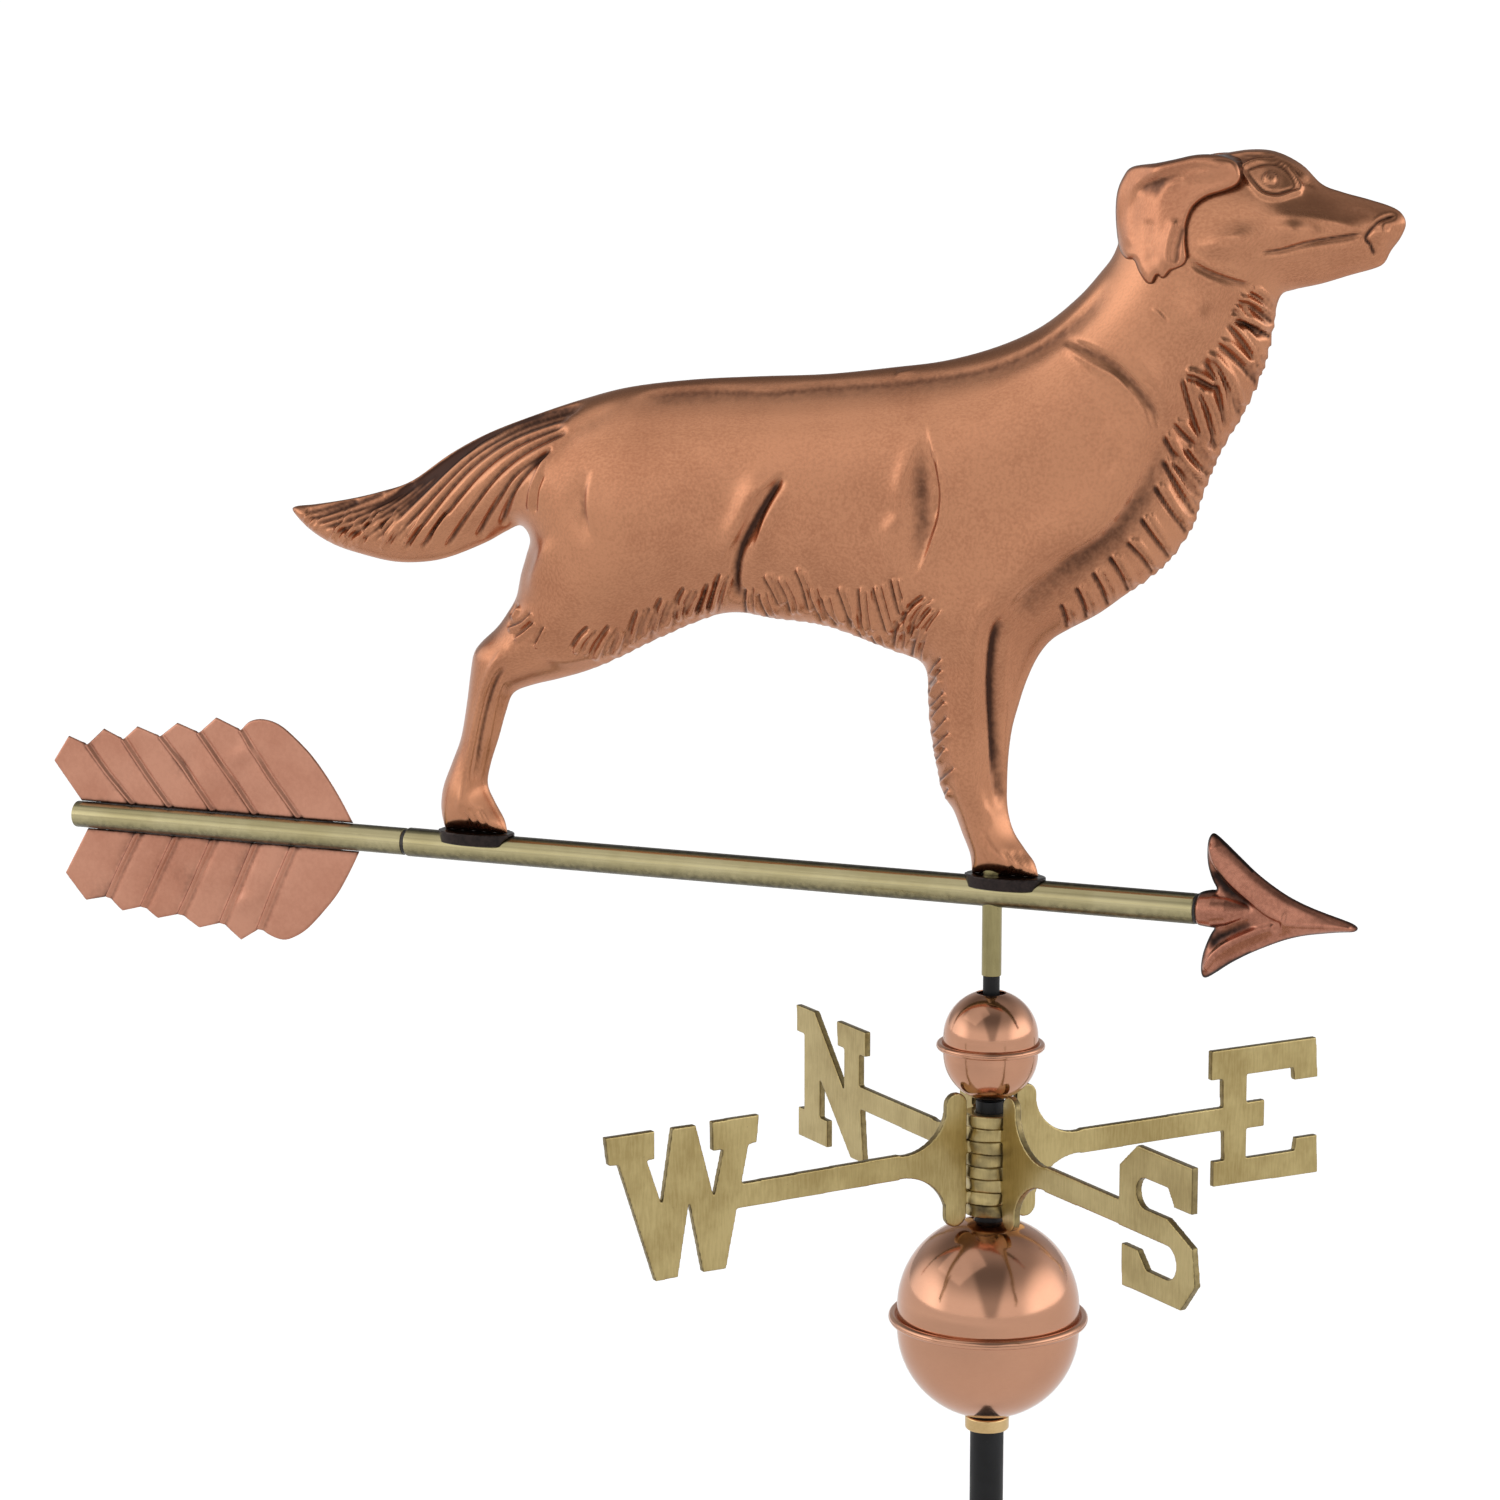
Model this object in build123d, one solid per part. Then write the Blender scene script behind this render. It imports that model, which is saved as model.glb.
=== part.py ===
"""Weather vane: a copper dog on a wind arrow, over two copper balls and four compass letters.

Millimetres, +Z up.  The origin is on the mast axis at the mast's foot.  +X runs along the
arrow to its point, +Y to the dog's left.
"""
import os
from math import cos, hypot, radians, sin

from build123d import *

os.makedirs("parts", exist_ok=True)

# ---- mast -------------------------------------------------------------------------------
ROD_R = 9.525            # 3/4 inch steel rod
ARMS_Z = 310.0           # height of the compass arms
ARROW_Z = 461.0          # height of the wind arrow
ROD_TOP = ARMS_Z - 46.0
ROD_UPPER_R = 9.3        # the rod is turned down from its shoulder up
TANG_R = 5.0             # the spindle's tang, driven into the rod's top
TANG = 30.0
NECK_R = 7.95            # turned neck the arms clamp to
NECK_TOP = ARMS_Z + 32.0
PIN_R = 4.70             # spindle pin the vane turns on
PIN_TOP = ARROW_Z + 40.0
BEARING_R = 4.30         # steel ball between the pin and the stem cap
COLLAR_R = 12.5
COLLAR_H = 7.8
COLLAR_TOP = ARMS_Z - 151.7
ROD_SHOULDER = COLLAR_TOP - COLLAR_H - 0.6

# ---- balls ------------------------------------------------------------------------------
SHEET = 0.9              # copper sheet of the balls
BIG_R = 51.5
BIG_SKIRT = 6.0
BIG_Z = ARMS_Z - 94.0
BIG_BEAD = 56.4
SMALL_R = 26.6
SMALL_SKIRT = 4.8
SMALL_Z = ARMS_Z + 63.4
SMALL_BEAD = 30.5
SMALL_HOLE = 8.3         # open hole in the small ball's top, clear of the pin
DOME_TURN = 40.0         # angle of the point that shapes each dome

# ---- compass arms -----------------------------------------------------------------------
PLATE = 4.0              # thickness of the cast arms
RING_R = 14.75
RING_BORE = 8.0
RING_H = 7.3             # eight rings stack on the neck
STACK_TOP = 25.4         # above the arms' own height
FLANGE_R = 23.0          # radius at which the upright flange stands
FLANGE_HALF = 6.8
FLANGE_H = 77.0
EAST_ANGLE = 52.0

# ---- arrow ------------------------------------------------------------------------------
STEM_R = 5.55
STEM_BORE = 4.75
STEM_BOTTOM = ARMS_Z + 103.5
STEM_TOP = ARROW_Z + 58.0
FRONT_R = 8.5
REAR_R = 8.0
TUBE_BORE = 7.2
TUBE_FRONT = 118.0
JOINT_X = -365.5
JOINT_GAP = 2.5
TUBE_REAR = -594.0
PLUME = 1.6              # thickness of the feather plates

# ---- dog --------------------------------------------------------------------------------
SKIN = 1.0               # copper sheet of the dog
FOOT_Z = 10.0            # soles, above the arrow's axis


def save(name, shape):
    """Write one piece as parts/NAME.step."""
    solids = shape.solids()
    piece = solids[0] if len(solids) == 1 else max(solids, key=lambda s: s.volume)
    if len(solids) > 1:
        print(name, "kept the largest of", len(solids), [round(s.volume, 1) for s in solids])
    piece.label = name
    export_step(piece, f"parts/{name}.step")
    box = piece.bounding_box()
    print(f"{name:26s} vol {piece.volume:10.0f}  z {box.min.Z:7.1f} to {box.max.Z:7.1f}")


def upright(radius, z_low, z_high, x=0.0, y=0.0):
    """A round bar standing along Z."""
    bar = Cylinder(radius, z_high - z_low, align=(Align.CENTER, Align.CENTER, Align.MIN))
    return Pos(x, y, z_low) * bar


def along_x(radius, x_low, x_high, z=ARROW_Z):
    """A round bar lying along X."""
    bar = Cylinder(radius, x_high - x_low, align=(Align.CENTER, Align.CENTER, Align.MIN))
    return Pos(x_low, 0, z) * Rot(0, 90, 0) * bar


def slab(outline, thickness, z=0.0):
    """A plate standing in the XZ plane, half its thickness each side."""
    flat = Plane.XZ * outline
    return Pos(0, 0, z) * extrude(flat, amount=thickness / 2, both=True)


def shape_from(points):
    """A straight-sided outline."""
    return make_face(Polyline(*points, close=True))


# ---- mast pieces ------------------------------------------------------------------------
def mast_rod():
    rod = upright(ROD_R, 0, ROD_SHOULDER) + upright(ROD_UPPER_R, ROD_SHOULDER, ROD_TOP)
    return rod - upright(TANG_R, ROD_TOP - TANG, ROD_TOP)


def neck_spindle():
    body = upright(NECK_R, ROD_TOP, NECK_TOP) + upright(TANG_R, ROD_TOP - TANG, ROD_TOP)
    body += upright(PIN_R, NECK_TOP, PIN_TOP)
    cup = Pos(0, 0, PIN_TOP + BEARING_R - 2.0) * Sphere(BEARING_R)
    return body - cup


def thrust_ball():
    return Pos(0, 0, PIN_TOP + BEARING_R - 2.0) * Sphere(BEARING_R)


def collar():
    ring = upright(COLLAR_R, COLLAR_TOP - COLLAR_H, COLLAR_TOP)
    ring = chamfer(ring.edges().filter_by(GeomType.CIRCLE), 0.7)
    ring -= upright(ROD_UPPER_R, COLLAR_TOP - COLLAR_H, COLLAR_TOP)
    return ring - collar_screw()


def collar_screw():
    z = COLLAR_TOP - COLLAR_H / 2
    screw = Pos(0, 0, z) * Rot(-90, 0, 0) * Pos(0, 0, ROD_UPPER_R) * Cylinder(
        2.0, COLLAR_R - 0.4 - ROD_UPPER_R, align=(Align.CENTER, Align.CENTER, Align.MIN))
    return screw - upright(ROD_UPPER_R, z - 5, z + 5)


def ball_half(radius, skirt, bead, hole, side):
    """One stamped half of a ball: dome, straight skirt and rolled bead, in the XZ plane."""
    inner = radius - SHEET
    top = (radius ** 2 - hole ** 2) ** 0.5
    top_in = (inner ** 2 - hole ** 2) ** 0.5
    out = cos(radians(DOME_TURN))
    up = sin(radians(DOME_TURN))
    wall = Line((radius, 0), (radius, skirt))
    wall += ThreePointArc((radius, skirt), (radius * out, skirt + radius * up), (hole, skirt + top))
    wall += Line((hole, skirt + top), (hole, skirt + top_in))
    wall += ThreePointArc((hole, skirt + top_in), (inner * out, skirt + inner * up), (inner, skirt))
    wall += Line((inner, skirt), (inner, 0))
    wall += Line((inner, 0), (radius, 0))
    bead_r = (bead - inner - 0.2) / 2
    bead_c = bead - bead_r
    lip = Line((bead_c - bead_r, 0), (bead_c + bead_r, 0))
    lip += ThreePointArc((bead_c + bead_r, 0), (bead_c, bead_r), (bead_c - bead_r, 0))
    profile = make_face(wall) + make_face(lip)
    half = revolve(Plane.XZ * profile, Axis.Z, 360)
    return half if side > 0 else mirror(half, Plane.XY)


# ---- compass arms -----------------------------------------------------------------------
EAST = [(149, 42.5), (223, 42.5), (224.5, 18.5), (208, 18.5), (207, 26), (174, 26), (174, 9.3),
        (187, 9.3), (187, -6.5), (174.5, -6.5), (174.5, -24), (209, -24), (210, -16.5),
        (225, -16.5), (226, -39.5), (151.5, -38.5), (151.5, -23.5), (159, -23.5), (157, 25),
        (149, 25)]
WEST = [(148.5, 42.5), (177.5, 42), (177, 25.5), (170.5, 25.5), (176.3, -0.5), (187.5, 41.5),
        (201.5, 41.5), (208, -0.5), (217, 25.5), (212.5, 25.5), (212.5, 41.5), (242, 41),
        (240, 25.5), (234, 25), (212, -42.3), (198.5, -42), (191.5, 0), (183, -41.5),
        (169, -41.5), (155, 26.5), (150, 27)]
NORTH = [(136, 42), (170, 42), (169, 27), (161, 27), (161, 1), (197, 42), (219, 42),
         (218, 25.5), (209.5, 25.5), (209, -21), (216, -21), (216, -38.5), (181, -38.5),
         (181, -22), (190, -22), (190, 2), (153, -38), (138, -38), (143, 9), (143, 27),
         (136, 27)]


def letter_s():
    body = shape_from([(133, -6.2), (133, 27), (150, 41.5), (201, 41), (201, 16), (184.5, 16),
                       (184.5, 5.7), (202, -2), (205, -22), (192, -38), (137, -38.5),
                       (136, -15.5), (152, -15.5), (152, -6.2)])
    upper = Polyline((157.7, 8.5), (178, 8.5), (184.5, 5.7), (184.5, 17), (179, 25), (157.7, 25))
    upper += ThreePointArc((157.7, 25), (149.5, 16.7), (157.7, 8.5))
    lower = Polyline((178.5, -24.6), (160, -24.6), (152, -16), (152, -6.2), (178.5, -6.2))
    lower += ThreePointArc((178.5, -6.2), (187.5, -15.4), (178.5, -24.6))
    return body - make_face(upper) - make_face(lower)


def arm(letter, units, angle, reach, level):
    """One cast arm: letter, tapering beam, upright flange and two rings of the hub stack."""
    flange = Pos(FLANGE_R, 0.3) * SlotOverall(FLANGE_H, 2 * FLANGE_HALF, rotation=90)
    top = Spline((29.8, 28), (32, 21.5), (40, 12.5), (62, 8.0))
    bottom = Spline((62, -6.4), (42, -10.5), (33, -19), (29.4, -27))
    web = top + Line((62, 8.0), (62, -6.4)) + bottom
    web += Polyline((29.4, -27), (23, -27), (23, 28), (29.8, 28))
    beam = shape_from([(60, 8.0), (60, -6.4), (reach, level - 6.9), (reach, level + 6.9)])
    plate = slab(flange + make_face(web) + beam + letter, PLATE, ARMS_Z)
    rings = None
    for unit in units:
        z_high = ARMS_Z + STACK_TOP - (unit - 1) * RING_H
        ring = upright(RING_R, z_high - RING_H, z_high)
        ring += Pos(14.8, 0, z_high - RING_H / 2) * Box(5.0, PLATE, RING_H)
        rings = ring if rings is None else rings + ring
    whole = plate + rings - upright(RING_BORE, ARMS_Z - 60, ARMS_Z + 60)
    whole -= screw_in(units[0], angle, for_arm_frame=True)
    return Rot(0, 0, angle) * whole


def screw_in(unit, angle, for_arm_frame=False):
    """The grub screw in one ring; all of them point to the side away from the letter E."""
    z = ARMS_Z + STACK_TOP - (unit - 0.5) * RING_H
    screw = Pos(RING_BORE + 0.35, 0, z) * Rot(0, 90, 0) * Cylinder(
        1.8, RING_R - RING_BORE - 0.6, align=(Align.CENTER, Align.CENTER, Align.MIN))
    heading = EAST_ANGLE + 45.0
    if for_arm_frame:
        passage = Pos(0, 0, z) * Rot(0, 90, 0) * Cylinder(
            1.8, RING_R + 2, align=(Align.CENTER, Align.CENTER, Align.MIN))
        return Rot(0, 0, heading - angle) * passage
    return Rot(0, 0, heading) * screw


# ---- arrow ------------------------------------------------------------------------------
def stem_bore(z_low, z_high):
    return upright(STEM_R, z_low, z_high)


def front_tube():
    tube = along_x(FRONT_R, JOINT_X, TUBE_FRONT) - along_x(TUBE_BORE, JOINT_X, TUBE_FRONT)
    return tube - stem_bore(ARROW_Z - 20, ARROW_Z + 20)


def rear_tube():
    end = JOINT_X - JOINT_GAP
    return along_x(REAR_R, TUBE_REAR, end) - along_x(TUBE_BORE, TUBE_REAR, end)


def joint_ferrule():
    sleeve = along_x(TUBE_BORE, JOINT_X - 28, JOINT_X + 25)
    sleeve += along_x(TUBE_BORE + 0.4, JOINT_X - JOINT_GAP, JOINT_X)
    return sleeve - along_x(TUBE_BORE - 1.0, JOINT_X - 28, JOINT_X + 25)


def end_cap():
    plug = along_x(TUBE_BORE, TUBE_REAR + 0.5, TUBE_REAR + 6)
    return plug - along_x(TUBE_BORE - 1.2, TUBE_REAR + 2, TUBE_REAR + 6)


UPPER_TEETH = [(-478, 59.5), (-495, 66), (-507, 56), (-522, 61), (-534, 52), (-550, 57),
               (-560, 48.5), (-574, 54), (-586, 43.5), (-599, 48), (-610, 32), (-590, 6)]
LOWER_TEETH = [(-468, -61), (-481, -69), (-494, -59.5), (-510, -64), (-523, -56.5),
               (-539, -60.5), (-549, -54), (-564, -58), (-574, -50), (-590, -53.5),
               (-604, -37.5), (-587, -6)]
UPPER_RIBS = [((-585, 42), (-555, 10)), ((-559, 47), (-529, 10)), ((-533, 50.5), (-500, 10)),
              ((-506, 54), (-471, 10)), ((-477.5, 57.5), (-441, 10))]
LOWER_RIBS = [((-573.5, -48), (-552, -10)), ((-548.5, -52), (-525, -10)),
              ((-522.5, -55), (-499, -10)), ((-493.5, -58), (-470, -10)),
              ((-467.5, -59), (-444, -10))]


def feather(teeth, front, crown, ribs):
    """A notched copper plate with pressed ribs, cut to sit on the arrow tube."""
    side = 1 if crown[1] > 0 else -1
    lead = Spline((front, side * 6), (front - 27, side * 45), crown, teeth[0])
    edge = lead + Polyline(*teeth) + Line(teeth[-1], (front, side * 6))
    plate = slab(make_face(edge), PLUME, ARROW_Z)
    for start, end in ribs:
        length = hypot(end[0] - start[0], end[1] - start[1])
        aim = Plane(origin=(start[0], 0, ARROW_Z + start[1]),
                    z_dir=(end[0] - start[0], 0, end[1] - start[1]))
        bar = Cylinder(1.7, length, align=(Align.CENTER, Align.CENTER, Align.MIN))
        plate += aim * bar
    return plate - along_x(REAR_R + 0.4, TUBE_REAR - 20, front + 10)


def solder_line(side, x_low, x_high):
    """The bead of solder along one feather's foot, either side of the plate."""
    bead = Pos((x_low + x_high) / 2, 0, ARROW_Z + side * 8.1) * Box(x_high - x_low, 5.0, 2.0)
    return bead - along_x(REAR_R, x_low - 1, x_high + 1)


# ---- hollow ware built from oval sections -----------------------------------------------
def oval(first, second, half, inset):
    """An ellipse across the vane, its long axis between two outline points."""
    dx = first[0] - second[0]
    dz = first[1] - second[1]
    reach = hypot(dx, dz) / 2
    middle = ((first[0] + second[0]) / 2, 0, ARROW_Z + (first[1] + second[1]) / 2)
    plane = Plane(origin=middle, x_dir=(0, 1, 0), z_dir=(dz, 0, -dx))
    return plane * scale(Circle(1.0), by=(half - inset, reach - inset, 1.0))


def between(a, b, share):
    """A section part of the way from one section to the next."""
    first = [p + (q - p) * share for p, q in zip(a[0], b[0])]
    second = [p + (q - p) * share for p, q in zip(a[1], b[1])]
    return first, second, a[2] + (b[2] - a[2]) * share


def midway(rows, k):
    """The section half way from row k to the next, on the curve through their neighbours."""
    a, b, c, d = rows[max(k - 1, 0)], rows[k], rows[k + 1], rows[min(k + 2, len(rows) - 1)]
    flat = [[*row[0], *row[1], row[2]] for row in (a, b, c, d)]
    mid = [(9 * (q + r) - p - s) / 16 for p, q, r, s in zip(*flat)]
    return (mid[0], mid[1]), (mid[2], mid[3]), mid[4]


def refined(rows):
    """The same sections with one more between each pair."""
    fine = [rows[0]]
    for k in range(len(rows) - 1):
        fine += [midway(rows, k), rows[k + 1]]
    return fine


def limb(sections, inset=0.0, shut=(False, False)):
    """A rounded body through oval sections; an inset copy is drawn back at its shut ends."""
    rows = refined(sections)
    if inset > 0 and shut[0]:
        rows[0] = between(rows[0], rows[1], 0.25)
    if inset > 0 and shut[1]:
        rows[-1] = between(rows[-1], rows[-2], 0.25)
    return loft([oval(a, b, half, inset) for a, b, half in rows], ruled=True)


# each section: back or top point, belly or front point, half width (above the arrow's axis)
TRUNK = [((-284, 250), (-284, 200), 14), ((-258, 262.5), (-258, 135), 25),
         ((-215, 274), (-215, 127), 28), ((-165, 280), (-165, 145), 27),
         ((-110, 283.5), (-110, 144.5), 26), ((-52, 290), (-56, 134), 28),
         ((0, 302), (12, 137), 30), ((35, 321), (80, 174), 29),
         ((57, 343), (118, 230), 25), ((65, 362), (147, 289), 22),
         ((74, 391), (158, 333), 21), ((125, 406.5), (172, 338), 20),
         ((166, 402), (187, 342), 16.5), ((192, 387.5), (202, 347), 13.5),
         ((223, 376), (215, 354), 9)]
HIND_LEG = [((-276, 230), (-200, 222), 16), ((-285, 180), (-202, 160), 31),
            ((-294, 150), (-238, 117), 29), ((-306, 131), (-274, 102), 20),
            ((-320, 112), (-297, 90), 13), ((-326, 85), (-303, 74), 10.5),
            ((-336, 50), (-312, 48), 10), ((-343, 26), (-309, 26), 11.5),
            ((-341, 6), (-301, 6), 12)]
FRONT_LEG = [((-50, 195), (32, 195), 22), ((-49, 142), (28, 142), 20),
             ((-39, 117), (18, 119), 16), ((-36.5, 90), (10, 90), 13),
             ((-31, 61), (8, 60), 11.5), ((-22, 43), (10, 42), 11),
             ((-13, 22), (21, 24), 11.5), ((-12, 6), (27, 6), 12)]
TAIL = [((-258, 256), (-262, 205), 12), ((-280, 255), (-288, 193), 14),
        ((-310, 243), (-315, 179), 15), ((-345, 223), (-342, 169.5), 14),
        ((-374, 208.5), (-374, 167), 11), ((-402, 201.5), (-404, 171), 8),
        ((-424, 198), (-425, 181), 5), ((-439, 196), (-440, 190.5), 2.4)]
EAR = [(70, 351), (80, 340), (84, 337), (93, 339), (107, 350), (106, 360), (110, 374),
       (120, 381), (135, 387), (139, 395), (134, 403), (112, 406), (86, 401), (74, 394),
       (69, 380), (68, 362)]


def dog_solid(inset):
    trunk = limb(TRUNK, inset, (True, True))
    hind = limb(HIND_LEG, inset)
    fore = limb(FRONT_LEG, inset)
    tail = limb(TAIL[:-1] if inset > 0 else TAIL, inset)
    return trunk + hind + fore + tail


def dog_halves():
    soles = Pos(0, 0, ARROW_Z + FOOT_Z - 25) * Box(1200, 120, 50)
    shell = dog_solid(0.0) - dog_solid(SKIN) - soles
    far = Pos(0, 100, ARROW_Z + 200) * Box(1200, 200, 600)
    near = Pos(0, -100, ARROW_Z + 200) * Box(1200, 200, 600)
    return shell & near, shell & far


def ear(side):
    """A flap of sheet lying on the head."""
    head = TRUNK[7:13]
    lead = make_face(Spline(*EAR, periodic=True))
    column = Pos(0, 0, ARROW_Z) * extrude(Plane.XZ * lead, amount=60 * -side)
    inner = Pos(100, side * 4, ARROW_Z + 370) * Box(200, 8, 200)
    return column & limb(head, -2.6) - limb(TRUNK, 0.0) - inner


def saddle(x_low, x_high, half_width):
    """The shaped pad between a foot and the arrow tube."""
    middle = (x_low + x_high) / 2
    pad = Pos(middle, 0, ARROW_Z + 3) * extrude(
        Ellipse((x_high - x_low) / 2, half_width), amount=FOOT_Z - 3)
    return pad - along_x(FRONT_R, x_low - 10, x_high + 10)


UPPER_BARB = [((129, 41.5), (125.5, 37.5), 1.4), ((135, 36.5), (124.5, 26), 4.2),
              ((145, 28), (128, 11), 5.8), ((158, 18), (142, 0), 6.6),
              ((172, 10), (166, -4), 5.6), ((188, 4), (187, -4.5), 3.8),
              ((206, -1), (206, -5), 1.6)]
LOWER_BARB = [((123, -33.5), (126, -37), 1.4), ((122.5, -23), (133, -32.5), 4.2),
              ((127, -9), (144, -24.5), 5.8), ((142, -1), (158, -17.5), 6.6),
              ((166, 2), (172, -12), 5.6), ((187, -1), (188, -8), 3.2),
              ((206, -2), (206, -5.5), 1.5)]


def arrowhead_halves():
    """Two stamped halves meeting on the vane's mid-plane, with a socket over the tube end."""
    solid = limb(UPPER_BARB) + limb(LOWER_BARB)
    hollow = limb(UPPER_BARB[1:-1], SKIN) + limb(LOWER_BARB[1:-1], SKIN)
    socket = Plane.XZ * make_face(Spline((120, 7.6), (127, 10.2), (138, 9.0), (156, 0))
                                  + Line((156, 0), (120, 0)) + Line((120, 0), (120, 7.6)))
    bore = Plane.XZ * shape_from([(119, 0), (119, 6.4), (128, 8.4), (140, 6.2), (150, 0)])
    cone = Pos(0, 0, ARROW_Z) * revolve(socket, Axis.X, 360)
    bore = Pos(0, 0, ARROW_Z) * revolve(bore, Axis.X, 360)
    head = solid + cone - hollow - bore
    far = Pos(160, 50, ARROW_Z) * Box(200, 100, 200)
    near = Pos(160, -50, ARROW_Z) * Box(200, 100, 200)
    return head & near, head & far


def main():
    save("mast_rod", mast_rod())
    save("neck_spindle", neck_spindle())
    save("thrust_ball", thrust_ball())
    save("mast_collar", collar())
    save("mast_collar_screw", collar_screw())
    for name, radius, skirt, z, bead, top, foot in (
            ("large_ball", BIG_R, BIG_SKIRT, BIG_Z, BIG_BEAD, NECK_R, ROD_UPPER_R),
            ("small_ball", SMALL_R, SMALL_SKIRT, SMALL_Z, SMALL_BEAD, SMALL_HOLE, NECK_R)):
        save(name + "_upper_half", Pos(0, 0, z) * ball_half(radius, skirt, bead, top, 1))
        save(name + "_lower_half", Pos(0, 0, z) * ball_half(radius, skirt, bead, foot, -1))
    for name, letter, units, turn, reach, level in (
            ("north", shape_from(NORTH), (1, 5), 90, 145, 1.0),
            ("south", letter_s(), (2, 6), -90, 140, 1.0),
            ("west", shape_from(WEST), (3, 7), 180, 165, -1.8),
            ("east", shape_from(EAST), (4, 8), 0, 160, 1.2)):
        angle = EAST_ANGLE + turn
        save(name + "_arm", arm(letter, units, angle, reach, level))
        save(name + "_set_screw", screw_in(units[0], angle))
    stem = upright(STEM_R, STEM_BOTTOM, STEM_TOP) - upright(STEM_BORE, STEM_BOTTOM, STEM_TOP)
    save("stem_tube", stem)
    cap = upright(STEM_BORE, PIN_TOP + 2 * BEARING_R - 1.6, STEM_TOP - 1)
    save("stem_cap", cap)
    save("arrow_front_tube", front_tube())
    save("arrow_rear_tube", rear_tube())
    save("tail_joint_ferrule", joint_ferrule())
    save("tail_end_cap", end_cap())
    upper = feather(UPPER_TEETH, -402, (-463, 67), UPPER_RIBS)
    lower = feather(LOWER_TEETH, -399, (-452, -66), LOWER_RIBS)
    save("upper_feather", upper)
    save("lower_feather", lower)
    save("upper_feather_solder", solder_line(1, -588, -405) - upper)
    save("lower_feather_solder", solder_line(-1, -585, -401) - lower)
    ring = along_x(FRONT_R - 0.4, TUBE_FRONT, TUBE_FRONT + 2) - along_x(6.4, TUBE_FRONT, TUBE_FRONT + 2)
    save("socket_solder_ring", ring)
    near, far = arrowhead_halves()
    save("arrowhead_right_half", near)
    save("arrowhead_left_half", far)
    save("hind_foot_saddle", saddle(-345, -297, 13.5))
    front_pad = saddle(-16, 31, 13.5) - stem_bore(ARROW_Z, ARROW_Z + 30)
    save("front_foot_saddle", front_pad)
    near, far = dog_halves()
    save("dog_right_shell", near)
    save("dog_left_shell", far)
    save("right_ear", ear(-1))
    save("left_ear", ear(1))


main()
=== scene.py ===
"""The weather vane's looks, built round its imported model: worked copper, cast and drawn brass."""

import math

import bmesh
import bpy
import numpy as np
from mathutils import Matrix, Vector
from mathutils.geometry import tessellate_polygon


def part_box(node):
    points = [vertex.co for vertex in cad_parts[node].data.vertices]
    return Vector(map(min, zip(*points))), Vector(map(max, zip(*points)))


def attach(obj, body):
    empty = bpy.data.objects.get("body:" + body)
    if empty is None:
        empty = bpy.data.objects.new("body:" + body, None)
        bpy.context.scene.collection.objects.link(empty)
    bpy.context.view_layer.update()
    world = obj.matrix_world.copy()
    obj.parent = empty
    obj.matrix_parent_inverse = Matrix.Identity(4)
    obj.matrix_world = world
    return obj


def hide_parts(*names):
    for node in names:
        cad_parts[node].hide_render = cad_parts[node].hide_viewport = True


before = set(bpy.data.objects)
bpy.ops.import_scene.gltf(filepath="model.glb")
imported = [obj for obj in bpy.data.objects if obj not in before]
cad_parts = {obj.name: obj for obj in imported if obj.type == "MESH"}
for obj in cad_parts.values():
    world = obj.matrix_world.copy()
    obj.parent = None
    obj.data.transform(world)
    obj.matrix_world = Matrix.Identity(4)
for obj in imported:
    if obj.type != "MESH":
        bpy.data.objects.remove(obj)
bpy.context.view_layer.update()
MM = 0.001

# ---- places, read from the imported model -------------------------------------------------
tube_low, tube_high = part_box("arrow_front_tube")
ARROW_Z = (tube_low.z + tube_high.z) / 2 / MM          # height of the arrow's axis, mm
ARMS_Z = ARROW_Z - 151.0                               # height of the compass arms, mm
ARM_TURNS = {"east": 52.0, "north": 142.0, "west": 232.0, "south": -38.0}

# The marks on the dog slide this far along and up for each mm that the surface stands out.
SLIDE = np.array([0.364, 0.10])


# ---- small tools ------------------------------------------------------------------------
def add_object(name, data):
    obj = bpy.data.objects.new(name, data)
    bpy.context.scene.collection.objects.link(obj)
    return obj


def new_object(name, verts, faces, smooth=True):
    mesh = bpy.data.meshes.new(name)
    mesh.from_pydata([tuple(v) for v in verts], [], faces)
    mesh.validate()
    mesh.update()
    if smooth:
        mesh.polygons.foreach_set("use_smooth", [True] * len(mesh.polygons))
    return add_object(name, mesh)


def ring_faces(rows, around, closed=True):
    """Quads over rings of points; closed joins the last ring to the first."""
    faces = []
    for i in range(rows if closed else rows - 1):
        j = (i + 1) % rows
        for k in range(around):
            m = (k + 1) % around
            faces.append([i * around + k, i * around + m, j * around + m, j * around + k])
    return faces


def face_outward(obj):
    work = bmesh.new()
    work.from_mesh(obj.data)
    bmesh.ops.recalc_face_normals(work, faces=work.faces)
    work.to_mesh(obj.data)
    work.free()
    return obj


def points_of(obj):
    """The vertices of an object, in metres."""
    co = np.empty(len(obj.data.vertices) * 3, np.float32)
    obj.data.vertices.foreach_get("co", co)
    return co.reshape(-1, 3)


def detail(final, quick):
    return final


def place(obj, body, node):
    """The piece moves with a body and stands for a CAD node, which is hidden."""
    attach(obj, body)
    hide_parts(node)


def smoothstep(low, high, x):
    t = np.clip((x - low) / (high - low), 0.0, 1.0)
    return t * t * (3 - 2 * t)


def through(points, per_span, closed=False):
    """A rounded line through the points (Catmull-Rom)."""
    p = np.array(points, float)
    n = len(p)
    padded = p[np.arange(-1, n + 2) % n] if closed else np.vstack([p[:1], p, p[-1:]])
    out = []
    for a, b, c, d in zip(padded, padded[1:], padded[2:], padded[3:]):
        for k in range(per_span):
            t = k / per_span
            out.append(0.5 * (2 * b + (c - a) * t + (2 * a - 5 * b + 4 * c - d) * t * t
                              + (3 * b - a - 3 * c + d) * t ** 3))
    if not closed:
        out.append(p[-1])
    return np.array(out)


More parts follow.
